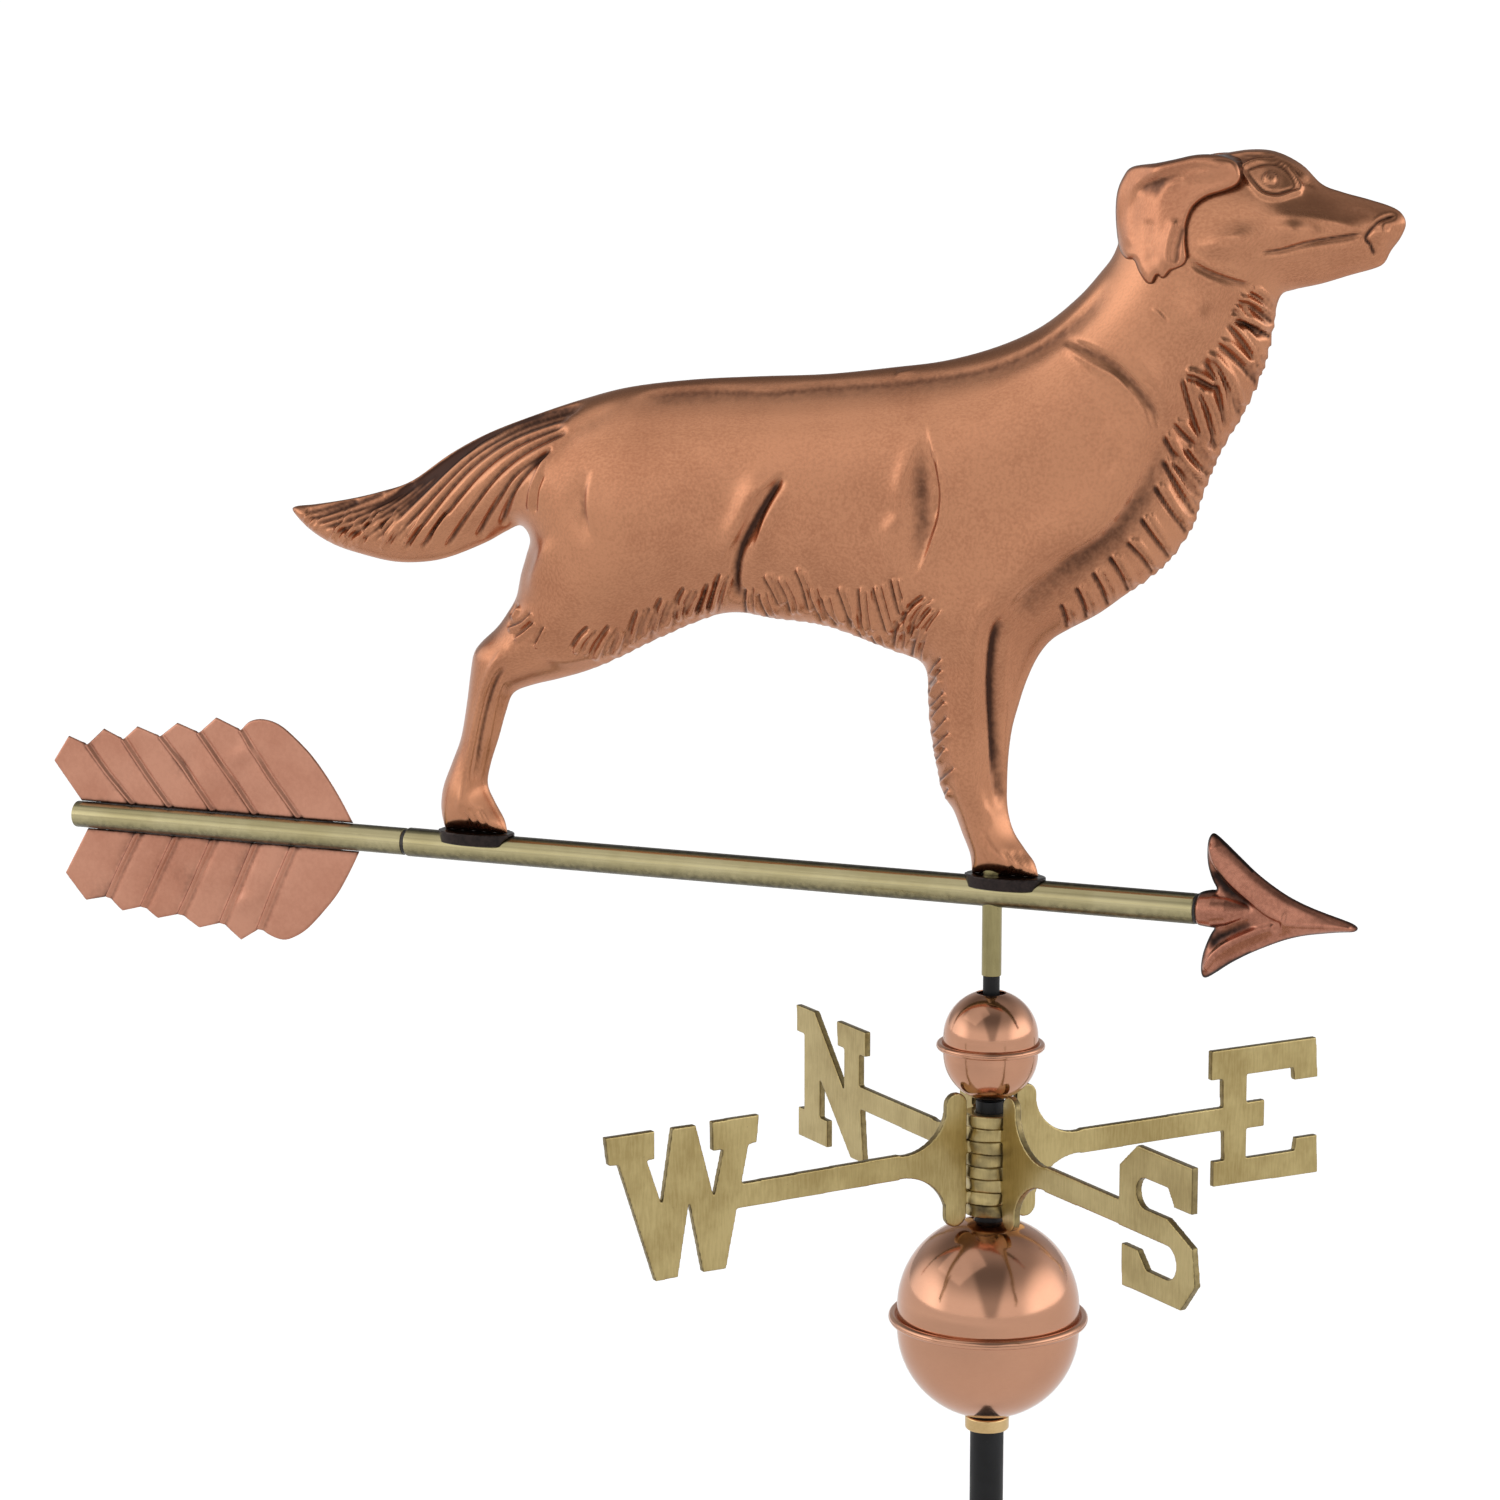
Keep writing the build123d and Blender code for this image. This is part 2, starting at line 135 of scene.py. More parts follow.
CHUNK = 4000        # points worked on at a time, to spare memory


def nearest(points, outline, closed=True):
    """Distance to an outline, the nearest point on it, the side of it that the point is on
    (1 for left, -1 for right) and the share of the way along it."""
    a, b = outline, np.roll(outline, -1, 0)
    if not closed:
        a, b = a[:-1], b[:-1]
    run = b - a
    length2 = (run ** 2).sum(1) + 1e-12
    total = np.sqrt(length2)
    start = np.concatenate([[0], np.cumsum(total)[:-1]])
    dist = np.empty(len(points))
    foot = np.empty((len(points), 2))
    side = np.empty(len(points))
    share = np.empty(len(points))
    for k in range(0, len(points), CHUNK):
        p = points[k:k + CHUNK]
        rel = p[:, None, :] - a[None]
        t = np.clip((rel * run).sum(2) / length2, 0, 1)
        near = a[None] + run[None] * t[..., None]
        d2 = ((p[:, None, :] - near) ** 2).sum(2)
        best = d2.argmin(1)
        row = np.arange(len(p))
        dist[k:k + CHUNK] = np.sqrt(d2[row, best])
        foot[k:k + CHUNK] = near[row, best]
        cross = run[best, 0] * rel[row, best, 1] - run[best, 1] * rel[row, best, 0]
        side[k:k + CHUNK] = np.sign(cross)
        share[k:k + CHUNK] = (start[best] + t[row, best] * total[best]) / total.sum()
    return dist, foot, side, share


def inside(points, outline):
    """True where a point lies within a closed outline."""
    a, b = outline, np.roll(outline, -1, 0)
    hit = np.zeros(len(points), bool)
    x, y = points[:, 0], points[:, 1]
    for (ax, ay), (bx, by) in zip(a, b):
        if ay == by:
            continue
        cross = (ay > y) != (by > y)
        at = ax + (y - ay) * (bx - ax) / (by - ay)
        hit ^= cross & (x < at)
    return hit


def swell(points, outline):
    """A distance to the outline that is rounded over in the middle instead of creased.

    It sums 1 / distance squared over each straight piece of the outline, in closed form."""
    a, b = outline, np.roll(outline, -1, 0)
    run = b - a
    size = np.sqrt((run ** 2).sum(1)) + 1e-9
    t = run / size[:, None]
    out = np.empty(len(points))
    for k in range(0, len(points), CHUNK):
        p = points[k:k + CHUNK]
        ra = a[None] - p[:, None]
        rb = b[None] - p[:, None]
        s1 = (ra * t).sum(2)
        s2 = (rb * t).sum(2)
        h2 = (ra ** 2).sum(2) - s1 ** 2 + 1e-7
        h2 = np.maximum(h2, 1e-6)
        r1 = np.sqrt(s1 ** 2 + h2)
        r2 = np.sqrt(s2 ** 2 + h2)
        out[k:k + CHUNK] = ((s2 / r2 - s1 / r1) / h2).sum(1)
    return (0.5 * out) ** -0.5


def grown(mask):
    """The mask and the grid points beside it."""
    wide = mask.copy()
    wide[1:] |= mask[:-1]
    wide[:-1] |= mask[1:]
    wide[:, 1:] |= mask[:, :-1]
    wide[:, :-1] |= mask[:, 1:]
    return wide


def flat_mesh(outline, step, ease):
    """A grid of faces that fills an outline, its edge vertices lying on the outline.

    Returns the points, the faces and which points are on the edge.  ease draws the grid
    closer together within that distance of the edge."""
    low, high = outline.min(0) - step, outline.max(0) + step
    nx, ny = (np.ceil((high - low) / step)).astype(int) + 1
    gx, gy = np.meshgrid(np.arange(nx), np.arange(ny))
    pts = np.stack([low[0] + gx.ravel() * step, low[1] + gy.ravel() * step], 1)
    within = inside(pts, outline)
    grid = within.reshape(ny, nx)
    band = grown(grid) & grown(~grid)
    for _ in range(int(max(ease / step, 1)) + 2):
        band = grown(band)
    band = np.flatnonzero(band.ravel())
    dist = np.full(len(pts), 1e3)
    foot = pts.copy()
    dist[band], foot[band] = nearest(pts[band], outline)[:2]
    snap = dist < 0.28 * step
    keep = within | snap
    pos = pts.copy()
    pos[snap] = foot[snap]
    near = within & ~snap & (dist < ease)
    closer = (dist[near] / ease) ** 0.6
    pos[near] = foot[near] + (pts[near] - foot[near]) * closer[:, None]
    state = keep.reshape(ny, nx)
    corners = [state[:-1, :-1], state[1:, :-1], state[:-1, 1:], state[1:, 1:]]
    full = np.logical_and.reduce(corners)
    part = np.logical_or.reduce(corners) & ~full
    yy, xx = np.nonzero(full)
    base = yy * nx + xx
    quads = np.stack([base, base + 1, base + nx + 1, base + nx], 1)
    faces = [q for q in quads.tolist() if not all(snap[v] for v in q)]
    extra = []
    lookup = {}
    signed = np.where(within, dist, -dist)

    def crossing(i, j):
        key = (min(i, j), max(i, j))
        if key not in lookup:
            t = signed[i] / (signed[i] - signed[j])
            q = pts[i] + (pts[j] - pts[i]) * t
            lookup[key] = len(pts) + len(extra)
            extra.append(q)
        return lookup[key]

    for y, x in zip(*np.nonzero(part)):
        ring = [y * nx + x, y * nx + x + 1, (y + 1) * nx + x + 1, (y + 1) * nx + x]
        poly = []
        for k in range(4):
            i, j = ring[k], ring[(k + 1) % 4]
            if keep[i]:
                poly.append(i)
            if keep[i] != keep[j] and not snap[i] and not snap[j]:
                poly.append(crossing(i, j))
        if len(poly) >= 3 and not all(v < len(pts) and snap[v] for v in poly):
            faces.append(poly)
    pos = np.vstack([pos, np.array(extra).reshape(-1, 2)])
    on_edge = np.concatenate([snap, np.ones(len(extra), bool)])
    used = np.unique(np.concatenate([np.array(f) for f in faces]))
    remap = -np.ones(len(pos), int)
    remap[used] = np.arange(len(used))
    faces = [[int(remap[v]) for v in f] for f in faces]
    return pos[used], faces, on_edge[used]


def open_edges(faces):
    """The edges that only one face uses."""
    seen = {(f[i - 1], f[i]) for f in faces for i in range(len(f))}
    return [e for e in seen if (e[1], e[0]) not in seen]


def sheet(pts, y):
    """A flat drawing stood up at the arrow's height, y mm from the mid-plane."""
    return np.stack([pts[:, 0], y, ARROW_Z + pts[:, 1]], 1)


def solid(name, sheets, faces, near):
    """An object from sheets of points in mm; the near half is a mirror image of the far one."""
    if not near:
        faces = [f[::-1] for f in faces]
    return new_object(name, np.vstack(sheets) * MM, faces)


def slab_between(name, pts, faces, front, back, near=False):
    """A closed solid from a flat mesh: front and back give its y in mm over each point."""
    n = len(pts)
    sign = -1.0 if near else 1.0
    out = list(faces)
    out += [[v + n for v in reversed(f)] for f in faces]
    out += [[j, i, i + n, j + n] for i, j in open_edges(faces)]
    return solid(name, [sheet(pts, sign * front), sheet(pts, sign * back)], out, near)


def half_shell(name, pts, faces, front, near):
    """One worked half: a domed front, closed by a flat face on the mid-plane."""
    sign = -1.0 if near else 1.0
    rim = dict(open_edges(faces))
    ring = sorted(rim)
    flat = {v: len(pts) + k for k, v in enumerate(ring)}
    out = list(faces)
    out += [[j, i, flat[i], flat[j]] for i, j in rim.items()]
    while rim:
        start, at = rim.popitem()
        loop = [start]
        while at != start:
            loop.append(at)
            at = rim.pop(at)
        corners = [Vector((pts[v][0], pts[v][1], 0)) for v in loop]
        out += [[flat[loop[v]] for v in reversed(t)] for t in tessellate_polygon([corners])]
    return solid(name, [sheet(pts, sign * front), sheet(pts[ring], np.zeros(len(ring)))], out, near)


def paint(obj, shade):
    """How dark each vertex is: mostly painted shade, with tones of the metal and dark joints on some
    pieces; 0 is clean, 1 is dark.
    """
    layer = obj.data.attributes.new("shade", "FLOAT", "POINT")
    layer.data.foreach_set("value", np.asarray(shade, np.float32))


def lathe(name, profile, axis="z", segments=160):
    """A turned piece: profile is (radius, place along the axis) in mm, closed on itself.

    The z axis is the mast's and the x axis is the arrow's."""
    turn = np.linspace(0, 2 * math.pi, segments, endpoint=False)
    rows = []
    for r, along in profile:
        level = np.full(segments, along)
        if axis == "z":
            rows.append(np.stack([r * np.cos(turn), r * np.sin(turn), level], 1))
        else:
            rows.append(np.stack([level, r * np.sin(turn), ARROW_Z + r * np.cos(turn)], 1))
    return face_outward(new_object(name, np.vstack(rows) * MM, ring_faces(len(profile), segments)))


def rounded(points, radius, steps):
    """A closed profile with its corners eased."""
    p = np.array(points, float)
    out = []
    n = len(p)
    for i in range(n):
        a, b, c = p[i - 1], p[i], p[(i + 1) % n]
        la, lc = np.linalg.norm(a - b), np.linalg.norm(c - b)
        r = min(radius, la * 0.45, lc * 0.45)
        s, e = b + (a - b) / la * r, b + (c - b) / lc * r
        for k in range(steps + 1):
            t = k / steps
            out.append((1 - t) ** 2 * s + 2 * t * (1 - t) * b + t * t * e)
    return out


# ---- materials --------------------------------------------------------------------------
class Nodes:
    """Short names for building a node tree; output names its texture coordinates."""

    def __init__(self, tree, output="Object"):
        self.tree = tree
        self.coords = self.add("ShaderNodeTexCoord").outputs[output]

    def add(self, kind, **values):
        node = self.tree.nodes.new(kind)
        for key, value in values.items():
            setattr(node, key, value)
        return node

    def link(self, a, b):
        self.tree.links.new(a, b)

    def stretched(self, scale):
        node = self.add("ShaderNodeMapping")
        node.inputs["Scale"].default_value = scale
        self.link(self.coords, node.inputs["Vector"])
        return node.outputs["Vector"]

    def noise(self, scale, detail=3.0, rough=0.5, vector=None):
        node = self.add("ShaderNodeTexNoise")
        node.inputs["Scale"].default_value = scale
        node.inputs["Detail"].default_value = detail
        node.inputs["Roughness"].default_value = rough
        self.link(vector or self.coords, node.inputs["Vector"])
        return node.outputs["Fac"]

    def spots(self, scale, size):
        """1 inside small scattered pits, 0 elsewhere."""
        node = self.add("ShaderNodeTexVoronoi")
        node.inputs["Scale"].default_value = scale
        self.link(self.coords, node.inputs["Vector"])
        return self.remap(node.outputs["Distance"], size * 0.5, size, 1.0, 0.0)

    def remap(self, value, a, b, c, d):
        node = self.add("ShaderNodeMapRange", interpolation_type="SMOOTHSTEP")
        for key, number in zip(("From Min", "From Max", "To Min", "To Max"), (a, b, c, d)):
            node.inputs[key].default_value = number
        self.link(value, node.inputs["Value"])
        return node.outputs["Result"]

    def math(self, kind, *parts):
        node = self.add("ShaderNodeMath", operation=kind)
        for part, socket in zip(parts, node.inputs):
            if isinstance(part, (int, float)):
                socket.default_value = part
            else:
                self.link(part, socket)
        return node.outputs[0]

    def against(self, kind, vector):
        """The dot product of the coordinates with a fixed vector, or their distance."""
        node = self.add("ShaderNodeVectorMath", operation=kind)
        node.inputs[1].default_value = vector
        self.link(self.coords, node.inputs[0])
        return node.outputs["Value"]

    def mix(self, fac, a, b):
        node = self.add("ShaderNodeMix", data_type="RGBA")
        self.link(fac, node.inputs[0])
        for socket, value in ((node.inputs[6], a), (node.inputs[7], b)):
            if isinstance(value, tuple):
                socket.default_value = (*value, 1.0)
            else:
                self.link(value, socket)
        return node.outputs[2]


class Surface(Nodes):
    """The node tree of a new material, with its Principled shader."""

    def __init__(self, name):
        self.mat = bpy.data.materials.new(name)
        self.mat.use_nodes = True
        super().__init__(self.mat.node_tree)
        self.shader = self.tree.nodes["Principled BSDF"]

    def fix(self, socket, value):
        self.shader.inputs[socket].default_value = value

    def drive(self, socket, value):
        self.link(value, self.shader.inputs[socket])

    def bump(self, height, distance):
        node = self.add("ShaderNodeBump")
        node.inputs["Distance"].default_value = distance
        node.inputs["Strength"].default_value = 1.0
        self.link(height, node.inputs["Height"])
        self.drive("Normal", node.outputs["Normal"])


def metal(name, light, dark, rough, grain=(1, 1, 1), grain_scale=400.0, bump=0.00002,
          patch=18.0, pits=0.0, takes_painted_shade=False, pit_and_shade_color=(0.02, 0.012, 0.008), blotch=0.5,
          rough_spread=0.08, grain_tint=0.25):
    """Lacquered metal: two tones in soft patches, drawn or brushed grain, pits and painted shade.

    With the flag set, painted shade is read from the mesh's own "shade" attribute and darkens it."""
    m = Surface(name)
    m.fix("Metallic", 1.0)
    m.fix("Coat Weight", 0.25)
    m.fix("Coat Roughness", 0.12)
    patches = m.noise(patch, 5.0, 0.6)
    height = m.noise(grain_scale, 2.0, 0.6, m.stretched(grain))
    tone = m.remap(patches, 0.35, 0.68, 0.0, blotch)
    tone = m.math("ADD", tone, m.remap(height, 0.3, 0.7, -grain_tint, grain_tint))
    color = m.mix(tone, light, dark)
    if pits > 0:
        gate = m.remap(m.noise(31.0), 0.5, 0.62, 0.0, 1.0)
        pit = m.math("MULTIPLY", m.spots(230.0, pits), gate)
        color = m.mix(pit, color, pit_and_shade_color)
        height = m.math("SUBTRACT", height, pit)
    if takes_painted_shade:
        # painted shade from the "shade" attribute, made ragged by noise, darkens the colour and roughens it
        shade = m.add("ShaderNodeAttribute", attribute_name="shade").outputs["Fac"]
        ragged = m.math("ADD", shade, m.remap(m.noise(300.0, 4.0), 0.3, 0.7, -0.07, 0.07))
        color = m.mix(m.remap(ragged, 0.05, 1.0, 0.0, 1.0), color, pit_and_shade_color)
        m.drive("Roughness", m.remap(ragged, 0.1, 0.9, rough, min(rough + 0.2, 0.9)))
    else:
        m.drive("Roughness", m.remap(patches, 0.3, 0.7, rough - rough_spread, rough + rough_spread))
    m.drive("Base Color", color)
    m.bump(height, bump)
    return m.mat


def srgb(r, g, b):
    return tuple(((v / 255 + 0.055) / 1.055) ** 2.4 for v in (r, g, b))


PITS = srgb(38, 24, 18)


def metals():
    """Each metal: two tones, roughness, grain stretch and scale, bump, patch size, pits, whether it
    takes painted shade, the colour of pits and painted shade, then how strong the patches are, how
    far roughness varies and the grain's tint."""
    return {
        # where the flag after pits is True, the colour that follows is that of pits and of painted shade
        "dog": metal("worked_copper", srgb(204, 142, 106), srgb(170, 110, 79), 0.27, (1, 6, 1),
                     520.0, 0.00003, 14.0, 0.05, True, srgb(66, 38, 26)),
        "ear": metal("ear_copper", srgb(198, 136, 102), srgb(166, 106, 77), 0.27, (1, 6, 1),
                     520.0, 0.00003, 14.0, 0.05, True, srgb(50, 28, 20)),
        "plume": metal("plume_copper", srgb(212, 152, 126), srgb(190, 128, 103), 0.32, (1, 1, 1),
                       500.0, 0.000012, 14.0, 0.03, True, srgb(70, 40, 30), 0.8, 0.08, 0.12),
        "head": metal("arrowhead_copper", srgb(190, 128, 104), srgb(148, 92, 72), 0.25,
                      (1, 1, 1), 500.0, 0.00002, 30.0, 0.05, True, srgb(36, 20, 15)),
        "ball": metal("polished_copper", srgb(212, 158, 128), srgb(198, 142, 112), 0.12,
                      (1, 1, 9), 300.0, 0.000008, 12.0, 0.022, False, PITS, 0.5, 0.03, 0.08),
        "tube": metal("drawn_brass", srgb(200, 188, 144), srgb(174, 161, 114), 0.18, (0.08, 1, 1),
                      900.0, 0.000008, 20.0, 0.03, True, srgb(40, 37, 24), 0.6, 0.05, 0.10),
        # the stem is the tubes' brass painted darker: painted shade
        "stem": metal("stem_brass_shaded", srgb(164, 152, 106), srgb(130, 119, 78), 0.20, (1, 1, 0.1),
                      900.0, 0.000008, 25.0, 0.05, False, PITS, 0.6, 0.05, 0.12),
        "collar": metal("collar_brass", srgb(226, 194, 140), srgb(200, 164, 108), 0.18,
                        (1, 1, 12), 500.0, 0.00001, 40.0),
        "steel": metal("screw_steel", srgb(150, 150, 150), srgb(95, 95, 95), 0.35, (1, 1, 1),
                       900.0, 0.00002, 90.0),
        "saddle": metal("burnt_solder_pad", srgb(52, 42, 40), srgb(18, 17, 18), 0.40, (1, 1, 1),
                        500.0, 0.0001, 70.0),
        "solder": metal("burnt_solder", srgb(78, 74, 72), srgb(22, 20, 20), 0.42, (1, 1, 1),
                        450.0, 0.00012, 90.0),
        "cast": metal("cast_brass", srgb(198, 178, 124), srgb(164, 142, 90), 0.30, (1, 1, 0.12),
                      800.0, 0.00003, 22.0, 0.05, True, srgb(62, 50, 34), 0.8, 0.08, 0.18),
    }


def black_paint(name):
    """Satin black paint on steel, with dust specks and a fine orange-peel surface."""
    m = Surface(name)
    m.fix("Metallic", 0.0)
    m.fix("Specular IOR Level", 0.3)
    tone = m.remap(m.noise(60.0, 4.0), 0.35, 0.7, 0.0, 1.0)
    color = m.mix(tone, srgb(13, 13, 15), srgb(23, 24, 27))
    m.drive("Base Color", m.mix(m.spots(320.0, 0.05), color, srgb(62, 62, 66)))
    m.drive("Roughness", m.remap(tone, 0.0, 1.0, 0.42, 0.55))
    m.bump(m.noise(900.0, 2.0), 0.00003)
    return m.mat


MATERIALS = {**metals(), "black": black_paint("black_paint")}


def wear(obj, key):
    obj.data.materials.clear()
    obj.data.materials.append(MATERIALS[key])
    return obj


# ---- the dog ----------------------------------------------------------------------------
# Flat drawing of the dog in mm: x along the arrow, height above the arrow's axis.
DOG_LINE = [
    (-341, 10), (-343.5, 22), (-342, 35), (-336, 50), (-330, 65), (-326, 85), (-323.5, 102),
    (-321, 115), (-316, 122), (-306, 131), (-299, 140), (-293, 150), (-290, 163),
    (-286.5, 174), (-284, 184), (-290, 191), (-300, 187), (-313, 180), (-335, 171),
    (-352, 167), (-372, 166), (-392, 169), (-412, 174), (-428, 182), (-439, 192),
    (-438, 195.5), (-424, 197.5), (-402, 201.5), (-380, 207), (-360, 214), (-335, 230.5),
    (-310, 243.5), (-280, 255), (-250, 265), (-220, 273), (-180, 278.5), (-140, 281.5),
    (-100, 284), (-60, 289), (-30, 293.5), (0, 302), (25, 313.5), (45, 329), (58, 343),
    (66, 354), (72, 372), (80, 392), (92, 400), (108, 404), (124, 407), (140, 409.5),
    (154, 408.5), (168, 402), (179, 392), (190, 388), (204, 384.5), (216, 381),
    (222, 377.5), (224.5, 372), (222, 365), (217, 358), (213.5, 351.5), (208, 348.5),
    (196, 345), (180, 340), (165, 336.5), (158, 333), (154.5, 320), (151.5, 304),
    (146, 287), (139, 272), (131, 259), (124.5, 246), (118, 230), (112, 211), (104, 197),
    (92, 184), (76, 171), (60, 159), (44, 150), (33, 143), (25, 133), (18.5, 119),
    (14, 105), (10.5, 92), (8.5, 76), (8, 60), (8.5, 47), (12, 35), (19, 25), (24.5, 18),
    (27, 10)]
DOG_LINE_BACK = [
    (-12, 10), (-13, 20), (-18, 32), (-23, 44), (-28, 51), (-31.5, 62), (-35, 78),
    (-37.5, 95), (-38.5, 110), (-40, 122), (-46, 128), (-60, 132), (-78, 137.5),
    (-95, 142.5), (-112, 145), (-130, 146), (-150, 148), (-165, 146.5), (-182, 140.5),
    (-204, 130.5), (-226, 119.5), (-246, 110), (-266, 103.5), (-284, 98.5), (-296, 93),
    (-301, 82), (-306, 66), (-311.5, 50), (-313.5, 38), (-309, 28), (-303, 18), (-301, 10)]


# Stretches of the outline where fur tips break the edge: from, to, tooth length and depth.
RAGGED = [((156, 328), (72, 168), 6.5, 1.7), ((-40, 130), (-150, 148), 5.5, 0.7),
          ((-165, 146.5), (-246, 110), 7.5, 0.8), ((-26, 48), (-40, 118), 6.0, 0.9)]


def dog_outline():
    line = np.vstack([through(DOG_LINE, 5), through(DOG_LINE_BACK, 5)])
    fine = [line[0]]
    for a, b in zip(line[:-1], line[1:]):
        n = max(1, int(np.linalg.norm(b - a) / 1.6))
        fine += [a + (b - a) * k / n for k in range(1, n + 1)]
    fine = np.array(fine)
    run = np.concatenate([[0], np.cumsum(np.linalg.norm(np.diff(fine, axis=0), axis=1))])
    along = np.gradient(fine, axis=0)
    along /= np.linalg.norm(along, axis=1)[:, None]
    outward = np.stack([along[:, 1], -along[:, 0]], 1)
    for start, end, pitch, depth in RAGGED:
        i, j = sorted(int(((fine - p) ** 2).sum(1).argmin()) for p in (start, end))
        s = run[i:j] + 1.7 * np.sin(run[i:j] * 0.21)
        tooth = (s / pitch) % 1.0
        ends = smoothstep(0, 12, run[i:j] - run[i]) * smoothstep(0, 12, run[j] - run[i:j])
        fine[i:j] -= outward[i:j] * (depth * tooth * ends)[:, None]
    return fine


class Relief:
    """A sheet of raised and sunk marks, or of painted shade, drawn flat at a pitch in mm."""

    def __init__(self, low, high, pitch=0.5):
        self.low, self.pitch = np.array(low, float), pitch
        size = ((np.array(high) - low) / pitch).astype(int) + 1
        self.sheet = np.zeros((size[1], size[0]), np.float32)

    def window(self, pts, pad):
        """The part of the sheet within pad of the points: its rows and columns, and places."""
        a = np.maximum(((pts.min(0) - pad - self.low) / self.pitch).astype(int), 0)
        b = np.minimum(((pts.max(0) + pad - self.low) / self.pitch).astype(int) + 1,
                       [self.sheet.shape[1], self.sheet.shape[0]])
        xs = self.low[0] + np.arange(a[0], b[0]) * self.pitch
        ys = self.low[1] + np.arange(a[1], b[1]) * self.pitch
        gx, gy = np.meshgrid(xs, ys)
        where = slice(a[1], b[1]), slice(a[0], b[0])
        return where, np.stack([gx.ravel(), gy.ravel()], 1), gx.shape

    def line(self, points, height, left, right, taper):
        """A ridge (or groove) along a line, its two flanks each with their own width."""
        path = through(points, 6) if len(points) > 2 else np.array(points, float)
        where, p, shape = self.window(path, 2.6 * max(left, right))
        d, _, side, share = nearest(p, path, closed=False)
        width = np.where(side > 0, left, right)
        ends = 1.0
        if taper:
            ends = smoothstep(0, taper, share) * smoothstep(0, taper, 1 - share)
        form = height * np.exp(-(d / width) ** 2) * ends
        self.sheet[where] += form.reshape(shape).astype(np.float32)

    def lock(self, points, height, width, shade_lines=None):
        """One lock of fur: a crest, with a sunk cut along its right side, painted as shade on a second
        sheet when one is given.
        """
        path = through(points, 4)
        where, p, shape = self.window(path, 4 * width)
        d, _, side, share = nearest(p, path, closed=False)
        s = d * side
        ends = smoothstep(0, 0.14, share) * smoothstep(0, 0.10, 1 - share)
        cut = np.exp(-((s + 1.35 * width) / (0.75 * width)) ** 2) * ends
        form = height * (np.exp(-(s / width) ** 2) * ends - 0.85 * cut)
        self.sheet[where] += form.reshape(shape).astype(np.float32)
        if shade_lines is not None:
            shade_lines.sheet[where] = np.maximum(shade_lines.sheet[where], 0.42 * cut.reshape(shape))

    def mound(self, x, y, rx, ry, height, turn=0.0):
        """A soft oval bump, or a dent where height is below 0, turned by some degrees."""
        c, s = math.cos(math.radians(turn)), math.sin(math.radians(turn))
        reach = 2.4 * max(rx, ry)
        where, p, shape = self.window(np.array([[x, y]], float), reach)
        dx, dy = p[:, 0] - x, p[:, 1] - y
        u, v = (c * dx + s * dy) / rx, (-s * dx + c * dy) / ry
        self.sheet[where] += (height * np.exp(-(u * u + v * v))).reshape(shape).astype(np.float32)

    def read(self, pts):
        """The height of the sheet at each point."""
        q = (pts - self.low) / self.pitch
        ny, nx = self.sheet.shape
        x = np.clip(q[:, 0], 0, nx - 1.001)
        y = np.clip(q[:, 1], 0, ny - 1.001)
        i, j = x.astype(int), y.astype(int)
        u, v = x - i, y - j
        s = self.sheet
        return (s[j, i] * (1 - u) * (1 - v) + s[j, i + 1] * u * (1 - v)
                + s[j + 1, i] * (1 - u) * v + s[j + 1, i + 1] * u * v)


# Fur locks of the chest, belly and legs, each from its root to its tip.
CHEST_LOCKS = [
    [(140, 336.5), (148, 332.5), (155, 326)], [(133, 332), (144, 328), (154, 321.5)],
    [(132, 328), (139, 321), (147, 315)], [(129.5, 322), (143, 319), (153.5, 313.5)],
    [(128.5, 320.5), (140, 309), (150, 295)], [(123, 310), (136, 300), (147, 289)],
    [(142, 300), (147, 294), (149, 289)], [(116, 303), (128.5, 291), (137.5, 273)],
    [(115, 301), (124.5, 289), (130, 266)], [(105, 292), (112, 290), (121, 286)],
    [(105.5, 291), (110.5, 275), (117.5, 257)], [(113.5, 284), (121, 271), (125.5, 253.5)],
    [(99.5, 267), (110, 257), (123, 245)], [(108, 253), (116, 244), (122, 239)],
    [(95, 260), (104, 246.5), (117, 235.5)], [(100, 245), (108, 237.5), (115, 228.5)],
    [(95, 246.5), (104, 233), (114, 219)], [(90.5, 232.5), (100, 220), (109.5, 209)],
    [(83, 215), (92, 204), (100, 195)], [(75, 201.5), (85, 193), (91, 185.5)],
    [(66, 193), (73, 184), (78, 175)], [(57, 184), (63, 175), (67, 166)],
    [(48, 175), (53, 166), (55, 158)], [(40, 165), (43, 158), (44, 152)]]
BELLY_LOCKS = [
    [(-136, 172), (-131, 164), (-127, 156)], [(-128, 171), (-122, 161), (-120, 151.5)],
    [(-117, 177), (-112, 167), (-109, 154)], [(-108, 166), (-105, 158), (-101, 148)],
    [(-100, 161.5), (-97, 153), (-92, 147)], [(-91.5, 168), (-87, 157), (-83, 145.5)],
    [(-78, 168), (-77, 156), (-75, 145)], [(-70, 169.5), (-66, 156.5), (-62, 144.5)],
    [(-59.5, 174.5), (-57, 164.5), (-54, 155)], [(-138, 161), (-137, 155.5), (-133, 148)],
    [(-145.5, 162.5), (-146.5, 156), (-146, 148.5)], [(-71, 141.5), (-68, 136), (-65, 133)],
    [(-84, 152), (-80, 146), (-77, 140)], [(-38.5, 163), (-47.5, 156), (-53, 145)],
    [(-34, 158), (-41, 150), (-47, 141)], [(-40.5, 146), (-44.5, 137.5), (-45.5, 130)],
    [(-55, 150), (-56, 142), (-57, 135)]]
